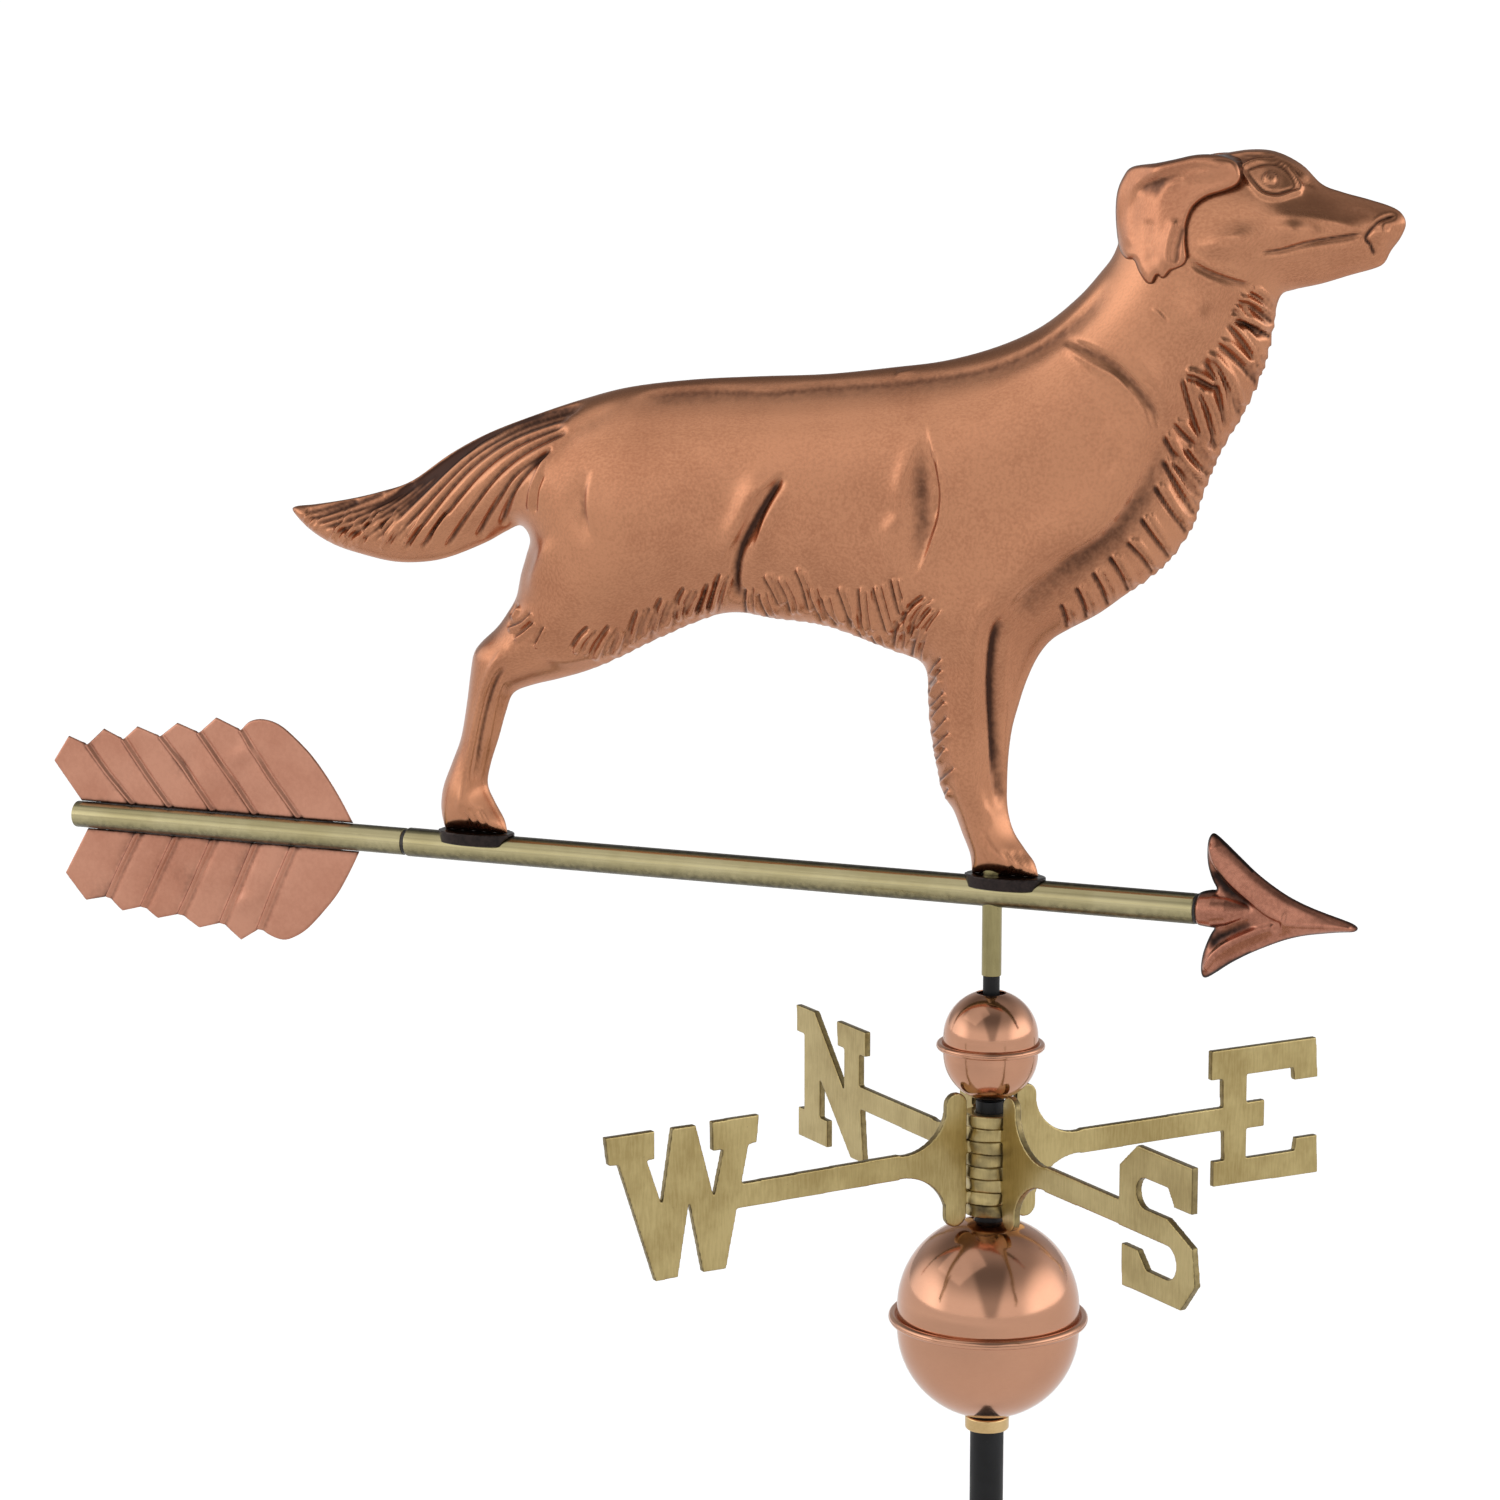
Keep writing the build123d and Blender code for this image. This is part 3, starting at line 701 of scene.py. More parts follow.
FLANK_LOCKS = [
    [(-160.5, 171), (-165, 160.5), (-169, 149)], [(-168, 164), (-172, 155), (-175, 147)],
    [(-175, 159), (-180, 151.5), (-182.5, 145.5)], [(-182.5, 160.5), (-187.5, 153), (-189.5, 144)],
    [(-196.5, 154.5), (-202, 144.5), (-205, 136.5)], [(-204, 148), (-208, 140), (-211, 132)],
    [(-211.5, 147), (-216, 137), (-219.5, 127)], [(-224, 134), (-227, 127), (-231, 120)],
    [(-229, 136.5), (-237, 126.5), (-241.5, 118.5)], [(-242.5, 134), (-249, 128.5), (-253.5, 122)],
    [(-190, 152), (-194, 145), (-197, 139)]]
LEG_LOCKS = [
    [(-29.5, 129.5), (-34, 124.5), (-36, 120)], [(-29.5, 123.5), (-33.5, 118), (-36.5, 113.5)],
    [(-30.5, 118), (-34.5, 113), (-37, 108.5)], [(-28, 111), (-32, 106), (-36, 101.5)],
    [(-27, 106), (-31.5, 101), (-35, 95.5)], [(-26, 97), (-30.5, 91.5), (-34.5, 86.5)],
    [(-24.5, 88.5), (-29.5, 83.5), (-34, 78)], [(-27, 80), (-30, 75), (-33, 71)],
    [(-21, 69), (-26.5, 64), (-30.5, 59)], [(-25, 56.5), (-26.5, 53.5), (-28, 51)],
    [(-289.5, 144.5), (-292, 141), (-294, 138)], [(-280.5, 141), (-287, 135), (-295, 132)],
    [(-278.5, 135.5), (-285, 130), (-290.5, 126.5)], [(-271.5, 134), (-275, 128), (-278, 123)]]
TAIL_CUTS = [
    [(-267, 237), (-282, 224), (-293, 210), (-302, 190)],
    [(-269, 235), (-290, 222), (-302, 207), (-318, 182)],
    [(-257, 248), (-282, 236), (-302, 221), (-319, 201), (-339, 174)],
    [(-259, 251), (-289, 239), (-311, 224), (-330, 204), (-356, 172)],
    [(-255, 256), (-288, 245), (-311, 232), (-333, 212), (-367, 171)],
    [(-250, 260), (-286, 249), (-315, 234), (-339, 213), (-378, 172)],
    [(-246, 263), (-286, 252), (-318, 237), (-344, 216), (-387, 175)],
    [(-273, 257), (-307, 245), (-333, 228), (-355, 208), (-395, 175)],
    [(-300, 247), (-322, 238), (-344, 221), (-366, 202), (-404, 177)],
    [(-318, 238), (-336, 228), (-359, 211), (-379, 197), (-413, 179)],
    [(-336, 228), (-355, 216), (-375, 203), (-394, 193), (-421, 182)],
    [(-359, 214), (-377, 203), (-396, 196), (-426, 185)],
    [(-377, 207), (-396, 200), (-413, 194), (-430, 188)],
    [(-396, 202), (-413, 197), (-431, 192)]]


# r is the sheet of raised and sunk marks, and the second sheet holds painted shade: dark lines
# in the creases, hollows and cuts.  A line has points, a height, widths to its left and right,
# and the share of its length that each end takes to fade.
def shoulder_and_neck(r, shade_lines):
    # shoulder standing over the chest, swept up from the front leg
    r.line([(-12, 132), (-4, 152), (12, 172), (28, 189), (46, 200), (64, 213), (76, 230),
            (83, 248), (84, 264), (80, 278)], 3.4, 19, 5, 0.3)
    r.line([(4, 152), (20, 168), (44, 188), (62, 200), (78, 222), (86, 244), (84, 260)],
           -2.4, 3.5, 13, 0.15)
    shade_lines.line([(24, 176), (50, 194), (66, 207), (79, 226), (84, 246)], 0.24, 3, 11, 0.3)
    r.line([(50, 276), (58, 271), (63, 259), (62, 245), (55, 229)], 0.8, 7, 3.5, 0.45)
    r.line([(66, 256), (66, 244), (60, 230)], -0.6, 3, 6, 0.45)
    # folds at the root of the neck
    r.line([(36, 307.5), (50, 302), (67, 293), (78, 283), (87, 272), (93, 258)], -1.7, 2.4, 3.2, 0.15)
    r.line([(36, 305), (46, 298.5), (56, 292.5), (67, 287), (78, 277)], 1.0, 1.6, 2.6, 0.15)
    r.line([(76, 302), (85, 292), (93, 280), (97, 268), (100, 258)], 1.5, 7, 2.4, 0.48)
    shade_lines.line([(38, 306), (66, 293), (86, 272), (93, 260)], 0.30, 1.6, 3, 0.2)
    r.mound(112, 318, 12, 9, 2.2, -50)
    r.line([(85, 324), (89, 322.5), (95, 316)], 0.8, 1.1, 1.6, 0.35)
    r.line([(88, 325), (93, 321), (97, 316.5)], -0.5, 1.5, 1.1, 0.35)


def flank_and_back(r, shade_lines):
    # hollow behind the shoulder blade, with its two rims
    r.line([(-41, 256), (-44, 240), (-44, 222), (-43, 204), (-46, 184), (-49, 168)], -3.0, 7.0, 6.0, 0.4)
    r.line([(-40, 263), (-37, 246), (-33, 232), (-31, 221), (-32, 208), (-36, 196), (-42, 181),
            (-48, 170)], 2.2, 6, 1.5, 0.34)
    r.line([(-41, 263), (-45.5, 250), (-51, 235), (-55, 221), (-55, 208), (-61, 198), (-60, 186),
            (-59, 175), (-55, 162)], 1.9, 1.6, 6, 0.34)
    r.line([(-36, 244), (-34.5, 232), (-33.5, 220), (-35, 206)], -1.0, 1.2, 1.8, 0.2)
    r.line([(-59, 176), (-57, 168), (-53, 160)], -1.6, 1.4, 2.4, 0.2)
    shade_lines.line([(-41, 250), (-44, 234), (-43, 212)], 0.10, 4, 4, 0.4)
    shade_lines.line([(-33, 236), (-31.5, 220), (-33, 205), (-38, 190), (-45, 174)], 0.34, 0.9, 1.1, 0.2)
    # fold at the flank
    r.line([(-123, 232), (-133, 224), (-142, 215), (-150, 199), (-160, 182), (-168, 173)],
           3.2, 1.8, 9, 0.34)
    r.line([(-124, 229), (-135, 212), (-145, 195), (-151, 185), (-154, 174), (-155, 163),
            (-151, 153)], -3.0, 3.8, 2.6, 0.12)
    r.line([(-121, 231), (-128, 218), (-135, 205), (-139, 192), (-145, 175)], 1.4, 6, 1.6, 0.35)
    shade_lines.line([(-126, 226), (-137, 210), (-147, 193), (-152, 180), (-153, 164), (-151, 154)],
             0.5, 2.6, 1.4, 0.15)
    r.mound(-112, 196, 9, 18, 1.1, 0)
    # hip and haunch
    r.line([(-241, 228), (-246, 217), (-247, 204), (-244, 192), (-237, 181)], -1.5, 1.6, 6, 0.42)
    r.line([(-239, 226), (-243, 214), (-243, 202), (-239, 190)], 0.7, 6, 1.6, 0.42)
    r.line([(-253, 220), (-254, 204), (-249, 190), (-240, 177)], -0.6, 2.5, 4, 0.42)
    shade_lines.line([(-245, 218), (-246.5, 204), (-243, 192)], 0.30, 1.1, 2.6, 0.25)
    r.mound(-205, 205, 36, 34, 2.0)
    r.line([(-219, 264), (-238, 256), (-254, 245), (-264, 234), (-270, 222)], -1.3, 7, 3.5, 0.4)
    r.line([(-282, 146), (-279, 160), (-273, 176), (-267, 190)], 2.2, 4.5, 8, 0.4)
    # crease that follows the back
    r.line([(-221, 263), (-200, 269), (-166, 271.5), (-135, 272), (-110, 275), (-84, 277.5),
            (-50, 281), (-10, 288), (15, 297), (35, 309), (52, 325), (66, 341)], -1.7, 2.0, 7.0, 0.08)
    shade_lines.line([(-221, 264), (-200, 270), (-166, 272.5), (-135, 273), (-110, 276), (-84, 278.5),
              (-50, 282), (-10, 289), (15, 298), (35, 310), (52, 326)], 0.34, 3.4, 2.0, 0.1)
    r.line([(-60, 285), (-48, 287)], 1.3, 1.3, 1.3, 0.3)


def legs(r, shade_lines):
    # hind leg: hamstring, hock and the long bones
    r.line([(-287, 124), (-262, 116), (-230, 126), (-214, 144)], 1.2, 8, 4, 0.3)
    r.line([(-297, 122), (-309, 104), (-316, 84), (-322, 60), (-327, 38), (-331, 18)], 2.0, 4.5, 2.6, 0.1)
    r.line([(-297, 112), (-304, 102), (-310, 88), (-315, 70), (-318, 54), (-321, 38)], -2.2, 1.6, 2.6, 0.12)
    r.line([(-299, 105), (-305, 90), (-309, 72), (-312, 56)], 1.0, 1.3, 2.2, 0.2)
    shade_lines.line([(-298, 110), (-305, 100), (-311, 84), (-316, 64), (-319, 46)], 0.45, 0.9, 1.6, 0.2)
    r.mound(-314, 118, 9, 8, 1.2)
    # front leg: bright front bone, the hollow beside the seam
    r.line([(1, 168), (-8, 152), (-11, 137), (-11, 110), (-10, 82), (-8, 56), (0, 36)], 2.2, 2.4, 6, 0.1)
    r.line([(6, 158), (-1, 145), (-3, 120), (-1, 92), (1, 66), (5, 46)], -3.0, 5.5, 2.2, 0.1)
    shade_lines.line([(3, 156), (-2, 145), (-4, 120), (-2.5, 92), (0, 66)], 0.5, 3.0, 1.2, 0.15)
    r.line([(9, 150), (7, 128), (7, 100), (8, 76)], 1.0, 2.2, 3.4, 0.2)
    r.line([(-24, 128), (-24, 100), (-22, 70), (-14, 44)], 1.1, 9, 5, 0.2)
    r.mound(-28, 152, 14, 20, 1.2)
    # toes
    for foot_x in (9, -326):
        for k in range(3):
            x = foot_x + 5 * k
            r.line([(x - 3, 25), (x + 1, 18), (x + 3, 11)], -1.2, 1.2, 1.2, 0.2)


def tail(r, shade_lines, rng):
    for cut in TAIL_CUTS:
        r.line(cut, -2.3, 1.9, 1.2, 0.06)
        shade_lines.line(cut, 0.34, 1.3, 0.8, 0.1)
    r.line([(-267, 237), (-274, 225.5), (-280, 212), (-282, 199)], 1.6, 1.3, 1.5, 0.12)
    r.line([(-272, 222), (-276.5, 212), (-278, 198)], -1.4, 1.0, 1.2, 0.15)
    for _ in range(34):
        x = rng.uniform(-432, -340)
        y = 176 + (x + 425) * 0.03 + rng.uniform(0, 12)
        r.lock([(x + 6, y + 9), (x + 1, y + 3), (x - 5, y - 5)], 1.1, 1.1)


def oval(x, y, rx, ry, count):
    """A closed oval of points."""
    turns = np.linspace(0, 6.2832, count)
    return [(x + rx * math.cos(a), y + ry * math.sin(a)) for a in turns]


def skull(r, shade_lines):
    # crown with its forelock, cheek, lip and jaw
    r.line([(112, 404), (126, 407), (140, 408), (153, 406.5), (164, 401), (174, 393.5)], 2.4, 3, 1.6, 0.08)
    r.line([(126, 404), (139, 405.5), (150, 404.8), (160, 400.5), (169, 393), (176, 388)],
           -1.6, 1.2, 1.5, 0.12)
    shade_lines.line([(127, 404.5), (140, 406), (151, 405), (161, 400.5), (170, 393)], 0.5, 0.8, 1.0, 0.15)
    r.line([(166, 397), (172, 393), (179, 391)], 1.2, 1.3, 1.3, 0.2)
    r.mound(128, 360, 15, 6.5, 3.8, 14)
    r.mound(163, 367, 9, 6, 2.6)
    r.line([(105, 351), (114, 345), (128, 340), (143, 337)], -1.7, 1.5, 2.2, 0.2)
    r.line([(104, 353), (114, 348), (128, 343), (140, 340)], 1.0, 3.0, 1.3, 0.25)
    shade_lines.line([(106, 350), (118, 343.5), (142, 337)], 0.34, 0.9, 1.2, 0.25)


def eye(r, shade_lines):
    # an almond of two lids, a sunk ring and the ball
    r.mound(151, 394, 10, 6.5, -1.8, -4)
    top = [(134, 398.5), (141, 402), (149, 403.8), (157.5, 402), (163.5, 396.5), (168, 388)]
    low = [(134, 398.5), (140, 390.5), (146, 385), (154, 383.5), (162, 386), (168, 388)]
    for lid in (top, low):
        r.line(lid, 2.6, 1.2, 1.2, 0.04)
        inner = [(151 + 0.84 * (x - 151), 394 + 0.78 * (y - 394)) for x, y in lid]
        r.line(inner, -1.0, 0.9, 0.9, 0.1)
        shade_lines.line(inner, 0.55, 0.8, 0.8, 0.1)
        outer = [(151 + 1.13 * (x - 151), 394 + 1.18 * (y - 394)) for x, y in lid]
        shade_lines.line(outer, 0.25, 1.0, 1.0, 0.15)
    r.mound(150.2, 393.6, 4.8, 4.4, 3.6)
    ring = oval(150.2, 393.6, 4.4, 4.0, 11)
    shade_lines.line(ring, 0.65, 0.7, 0.7, 0)
    r.line(ring, -0.6, 0.7, 0.7, 0)
    shade_lines.line(oval(150.4, 393.8, 1.7, 1.6, 9), 0.7, 0.5, 0.5, 0)


def muzzle(r, shade_lines):
    # lips, nose leather, nostril, whisker bed
    r.line([(143, 355), (155, 356), (170, 360.5), (184, 363.5), (196, 365.5), (203, 366.5)],
           -1.8, 0.9, 1.9, 0.12)
    shade_lines.line([(143, 355), (155, 356), (170, 360.5), (184, 363.5), (196, 365.5), (203, 366)],
             0.6, 0.55, 0.7, 0.12)
    r.line([(146, 351), (164, 354), (184, 357.5), (202, 359)], 1.1, 3, 3, 0.2)
    r.line([(146, 371), (158, 374.5), (173, 373.5), (189, 370.5), (202, 367)], 1.0, 4.5, 2.2, 0.25)
    shade_lines.line([(146, 372), (158, 375.5), (173, 374.5), (189, 371.5)], 0.22, 2.2, 1.0, 0.3)
    pad = [(219, 376), (211, 373.5), (205.5, 368.5), (202.5, 363.5), (205.5, 360), (208, 354.5)]
    r.line(pad, -1.9, 1.3, 1.3, 0.06)
    shade_lines.line(pad, 0.7, 0.7, 1.3, 0.08)
    r.mound(212, 366, 5, 7, 2.6, 20)
    for x, y, size in ((209, 369, 1.3), (214, 370, 1.1), (208, 362, 1.2), (213, 364, 1.0),
                       (217, 368, 1.0), (211, 358, 1.0)):
        r.mound(x, y, size, size, -0.8)
    r.line([(204, 352), (196, 350.5), (184, 349)], 0.6, 1.5, 1.5, 0.2)


def coat(r, shade_lines, rng):
    """The fur locks; all but the legs' have a smaller twin beside them."""
    for locks, height, width in ((CHEST_LOCKS, 2.7, 2.1), (BELLY_LOCKS, 2.5, 1.9),
                                 (FLANK_LOCKS, 2.4, 1.9), (LEG_LOCKS, 2.2, 1.4)):
        for lock in locks:
            root, tip = np.array(lock[0], float), np.array(lock[-1], float)
            past = tip + 0.14 * (tip - root)
            r.lock(lock[:-1] + [tuple(past)], height, width, shade_lines)
            if locks is LEG_LOCKS:
                continue
            bend = rng.uniform(-1.5, 1.5)
            slide = rng.uniform(3.4, 4.8)
            twin = [(x + slide, y + bend - 1.2 * k) for k, (x, y) in enumerate(lock)]
            r.lock(twin, height * 0.6, width * 0.7, shade_lines)


def dog_relief():
    r = Relief((-450, 0), (235, 420))
    # the second sheet is painted shade
    shade_lines = Relief((-450, 0), (235, 420))
    rng = np.random.default_rng(7)
    for part in (shoulder_and_neck, flank_and_back, legs, skull, eye, muzzle):
        part(r, shade_lines)
    tail(r, shade_lines, rng)
    coat(r, shade_lines, rng)
    return r, shade_lines


HALF_WIDTH = 28.5               # how far the dog's body stands off the mid-plane, mm
ROUNDING = 28.0                 # how far in from the outline it is still rounded, mm
DEEPEST, HIGHEST = -3.4, 3.2    # limits of the marks, mm
RIM = 0.3                       # half the thickness left at the outline, mm


def body_height(pts, outline):
    """The smooth swell of one half, before any marks."""
    soft = swell(pts, outline)
    base = HALF_WIDTH * np.sqrt(1 - np.exp(-(soft / ROUNDING) ** 1.45))
    slim = 0.28 * smoothstep(-262, -330, pts[:, 0]) * smoothstep(150, 172, pts[:, 1])
    slim += 0.30 * smoothstep(150, 200, pts[:, 0])
    plump = 0.14 * np.exp(-(((pts[:, 0] + 235) / 55) ** 2 + ((pts[:, 1] - 175) / 45) ** 2))
    return base * (1 - slim + plump), soft


EAR_LINE = [(75, 399), (70, 394), (66.5, 385), (66, 372), (68, 357), (71.5, 350.5), (76, 349.5),
            (79, 343), (83, 337.5), (86, 337.2), (88.5, 341.5), (92, 339.8), (95.5, 343.5),
            (99, 345), (103, 347), (105, 351), (104, 360), (104.5, 369), (108, 377.5),
            (115, 383), (124, 386), (131, 389), (134, 394), (131, 401.5), (122, 404.8),
            (110, 405), (98, 402.5), (88, 400.5)]


def square_to(pts, faces, height):
    """The outward normal of the surface that stands at this height over each point."""
    mesh = bpy.data.meshes.new("sheet")
    mesh.from_pydata(np.column_stack([pts, height]).tolist(), [], faces)
    normal = np.empty(len(pts) * 3, np.float32)
    mesh.vertices.foreach_get("normal", normal)
    bpy.data.meshes.remove(mesh)
    normal = normal.reshape(-1, 3)
    return normal * np.where(normal[:, 2:] < 0, -1.0, 1.0)


def make_dog():
    outline = dog_outline()
    relief, shade_lines = dog_relief()
    pts, faces, edge = flat_mesh(outline, detail(0.98, 1.3), 5.0)
    base = np.zeros(len(pts))
    soft = np.zeros(len(pts))
    base[~edge], soft[~edge] = body_height(pts[~edge], outline)
    # the marks slide round the swell, as they do when the sheet is worked over it
    drawn = pts - SLIDE * base[:, None]
    marks = np.clip(relief.read(drawn), DEEPEST, HIGHEST)
    amount = marks * smoothstep(0.0, 2.2, soft)
    normal = square_to(pts, faces, base)
    front = np.maximum(base + amount * normal[:, 2] + RIM, RIM)
    pts = pts + (0.8 * amount * smoothstep(0.0, 6.0, soft))[:, None] * normal[:, :2]
    # painted shade: darker in the sunk marks and along the shade sheet's lines, and a dark line at the
    # outline
    shade = (np.clip(-marks * 0.20, 0, 0.8) + shade_lines.read(drawn)) * smoothstep(0.0, 1.2, soft)
    shade += 0.35 * np.exp(-(soft / 0.6) ** 2)
    for name, near in (("dog_right", True), ("dog_left", False)):
        obj = half_shell(name, pts, faces, front, near)
        back_rim = len(obj.data.vertices) - len(shade)
        paint(obj, np.concatenate([shade, np.zeros(back_rim)]))
        place(wear(obj, "dog"), "vane", name + "_shell")
    make_ears(outline)


def make_ears(outline):
    line = through(EAR_LINE, 5, closed=True)
    flat, faces, edge = flat_mesh(line, detail(0.7, 1.1), 2.0)
    soft = np.zeros(len(flat))
    soft[~edge] = swell(flat[~edge], line)
    r = Relief((40, 320), (160, 420))
    r.line([(84, 395), (75, 386), (72, 370), (75, 354)], 1.2, 2.4, 5, 0.2)
    r.line([(78, 390), (92, 397), (110, 401), (128, 399)], 1.7, 5, 2.2, 0.2)
    r.line([(77, 384), (84, 389), (95, 392), (106, 393)], -1.3, 2.0, 3.0, 0.2)
    r.mound(88, 386, 5, 3, -1.1, 35)
    r.mound(99, 391, 6, 2.6, 1.0, 25)
    r.mound(117, 396, 9, 3.6, 1.2, 10)
    r.line([(99, 372), (95, 360), (94, 350), (96, 345)], 1.4, 1.4, 3, 0.15)
    r.line([(103, 368), (100, 356), (99, 346)], -1.2, 1.3, 1.5, 0.15)
    r.line([(84, 372), (84, 358), (86, 346)], -0.5, 3, 4, 0.2)
    marks = r.read(flat)
    lift = 3.4 * np.sqrt(1 - np.exp(-(soft / 1.3) ** 1.3))
    flap = 7.0 + 13.0 * smoothstep(66, 92, flat[:, 0])
    # each point slides out from where it is drawn, as far as it stands off the mid-plane
    pts = flat.copy()
    for _ in range(8):
        ground = ground_height(pts, outline)
        under = 2.0 * np.log(np.exp((ground + 1.0) / 2.0) + np.exp(flap / 2.0))
        reach = under + lift
        pts = flat + (SLIDE * reach[:, None]) * 0.5 + (pts - flat) * 0.5
    front = under + lift + marks * smoothstep(0, 2.5, soft)
    back = np.where(ground > 2.5, ground - 2.0, under - 1.5)
    # painted shade: darker in the sunk marks, and a dark line round the outline
    shade = np.clip(-marks * 0.5, 0, 1) + 0.75 * np.exp(-(soft / 0.6) ** 2)
    for name, near in (("ear_right", True), ("ear_left", False)):
        obj = slab_between(name, pts, faces, front, back, near)
        paint(obj, np.concatenate([shade, shade]))
        place(wear(obj, "ear"), "vane", "right_ear" if near else "left_ear")


def ground_height(pts, outline):
    """The swell, and 0 for points past the outline or on it."""
    dist = nearest(pts, outline)[0]
    good = inside(pts, outline) & (dist > 0.05)
    base = np.zeros(len(pts))
    base[good], _ = body_height(pts[good], outline)
    return base


# ---- feathers ---------------------------------------------------------------------------
UPPER_PLUME = [(-403, 8.4), (-411, 22), (-420, 35), (-430, 47), (-441, 57), (-452, 64.5),
               (-463, 67), (-472, 65), (-478, 59.5)]
UPPER_TEETH = [(-495, 66), (-507, 56), (-522, 61), (-534, 52), (-550, 57), (-560, 48.5),
               (-574, 54), (-586, 43.5), (-599, 48), (-610, 32), (-591, 8.4)]
LOWER_PLUME = [(-399, -8.4), (-405, -20), (-414, -35), (-425, -48), (-436, -59), (-446, -65),
               (-453, -66.5), (-461, -64.5), (-468, -61)]
LOWER_TEETH = [(-481, -69), (-494, -59.5), (-510, -64), (-523, -56.5), (-539, -60.5),
               (-549, -54), (-564, -58), (-574, -50), (-590, -53.5), (-604, -37.5), (-587, -8.4)]
UPPER_RIBS = [((-586, 43), (-555, 9)), ((-560, 48), (-529, 9)), ((-534, 51.5), (-499, 9)),
              ((-507, 55.5), (-470, 9)), ((-478, 59), (-440, 9))]
LOWER_RIBS = [((-574, -50), (-552, -9)), ((-549, -54), (-525, -9)), ((-523, -56.5), (-499, -9)),
              ((-494, -59.5), (-470, -9)), ((-468, -61), (-444, -9))]


def make_feather(name, curve, teeth, ribs, node):
    outline = np.vstack([through(curve, 5), teeth])
    pts, faces, _ = flat_mesh(outline, detail(0.75, 1.3), 1.5)
    r = Relief(outline.min(0) - 8, outline.max(0) + 8, 0.4)
    dark = Relief(outline.min(0) - 8, outline.max(0) + 8, 0.4)
    rng = np.random.default_rng(3)
    up = 1 if curve[0][1] > 0 else -1
    for (x0, y0), (x1, y1) in ribs:
        bow = rng.uniform(-0.8, 0.8)
        rib = np.array([(x0, y0), ((x0 + x1) / 2 + bow, (y0 + y1) / 2 + bow), (x1, y1)])
        r.line(rib, 2.3, 1.3, 1.3, 0.0)
        # painted shade: a dark line beside each rib
        dark.line(rib - (1.5, 0), 0.5, 0.9, 0.9, 0.0)
        r.line(rib + [(2.2, 0.4), (2.2, 0.4), (2.2, 0)], -0.75, 1.2, 3.0, 0.0)
        r.line(rib - (2.2, 0), -0.45, 3.0, 1.2, 0.0)
    for _ in range(14):
        r.mound(rng.uniform(-600, -410), up * rng.uniform(10, 60), rng.uniform(9, 20),
                rng.uniform(5, 12), rng.uniform(-0.8, 0.8), rng.uniform(0, 90))
    marks = r.read(pts)
    dist = nearest(pts, outline)[0]
    lip = 0.8 * np.sqrt(np.clip(dist / 0.6, 0.0, 1.0)) + 0.08
    solder_edge = np.exp(-((np.abs(pts[:, 1]) - 8.5) / 2.2) ** 2)
    # darker in the sunk marks, along the outline and beside the ribs (painted shade), and at the soldered
    # foot (dark joint)
    shade = np.clip(-marks * 0.55, 0, 0.8) + 0.55 * solder_edge
    shade += 0.35 * np.exp(-(dist / 0.8) ** 2) + dark.read(pts)
    obj = slab_between(name, pts, faces, lip - marks, -lip - marks)
    paint(obj, np.concatenate([shade, shade]))
    place(wear(obj, "plume"), "vane", node)


def wobble(at, pitches, phases):
    """A sum of waves between -1 and 1, for lumpy edges."""
    return sum(math.sin(at * f + p) for f, p in zip(pitches, phases)) / len(pitches)


def solder_bead(name, x_low, x_high, up, node):
    """A lumpy run of solder along one feather's foot, both sides of the plate."""
    steps, ring = 240, 12
    phases = np.random.default_rng(11 + up).uniform(0, 6, 6)
    verts = []
    for i in range(steps + 1):
        x = x_low + (x_high - x_low) * i / steps
        lumps = wobble(x, (0.31, 0.73, 1.7, 0.13, 0.49, 2.6), phases)
        fat = (1.0 + 0.5 * lumps) * min(1.0, 4.0 * min(i, steps - i) / steps + 0.25)
        for k in range(ring):
            a = 2 * math.pi * k / ring
            y = 2.3 * fat * math.cos(a)
            z = up * (7.9 + 0.95 * fat * math.sin(a) - 0.12 * y * y / 2)
            verts.append((x * MM, y * MM, (ARROW_Z + z) * MM))
    faces = ring_faces(steps + 1, ring, closed=False)
    faces.append(list(range(ring))[::-1])
    faces.append([steps * ring + k for k in range(ring)])
    place(wear(new_object(name, verts, faces), "solder"), "vane", node)


# ---- arrowhead --------------------------------------------------------------------------
HEAD_LINE = [(118.5, 6.4), (121, 9.6), (126, 11.2), (129.5, 12), (127, 17), (124.6, 24),
             (123.8, 31), (124.2, 38), (126, 42), (128.5, 42.2), (134, 38), (142, 31),
             (151, 23.2), (160, 16.8), (170, 11), (180, 6.8), (190, 3.6), (200, 0.8),
             (206, -1.2), (208.3, -3.4), (206, -5.4), (198, -6.4), (188, -8), (178, -10),
             (168, -13.2), (158, -17.6), (148, -22.6), (138, -28.6), (130, -34.4),
             (124.6, -37.7), (122, -36.6), (121.4, -31), (122.8, -23), (126, -14.5),
             (128.6, -9.4), (125, -8.6), (121, -7.8), (118.5, -6.2)]


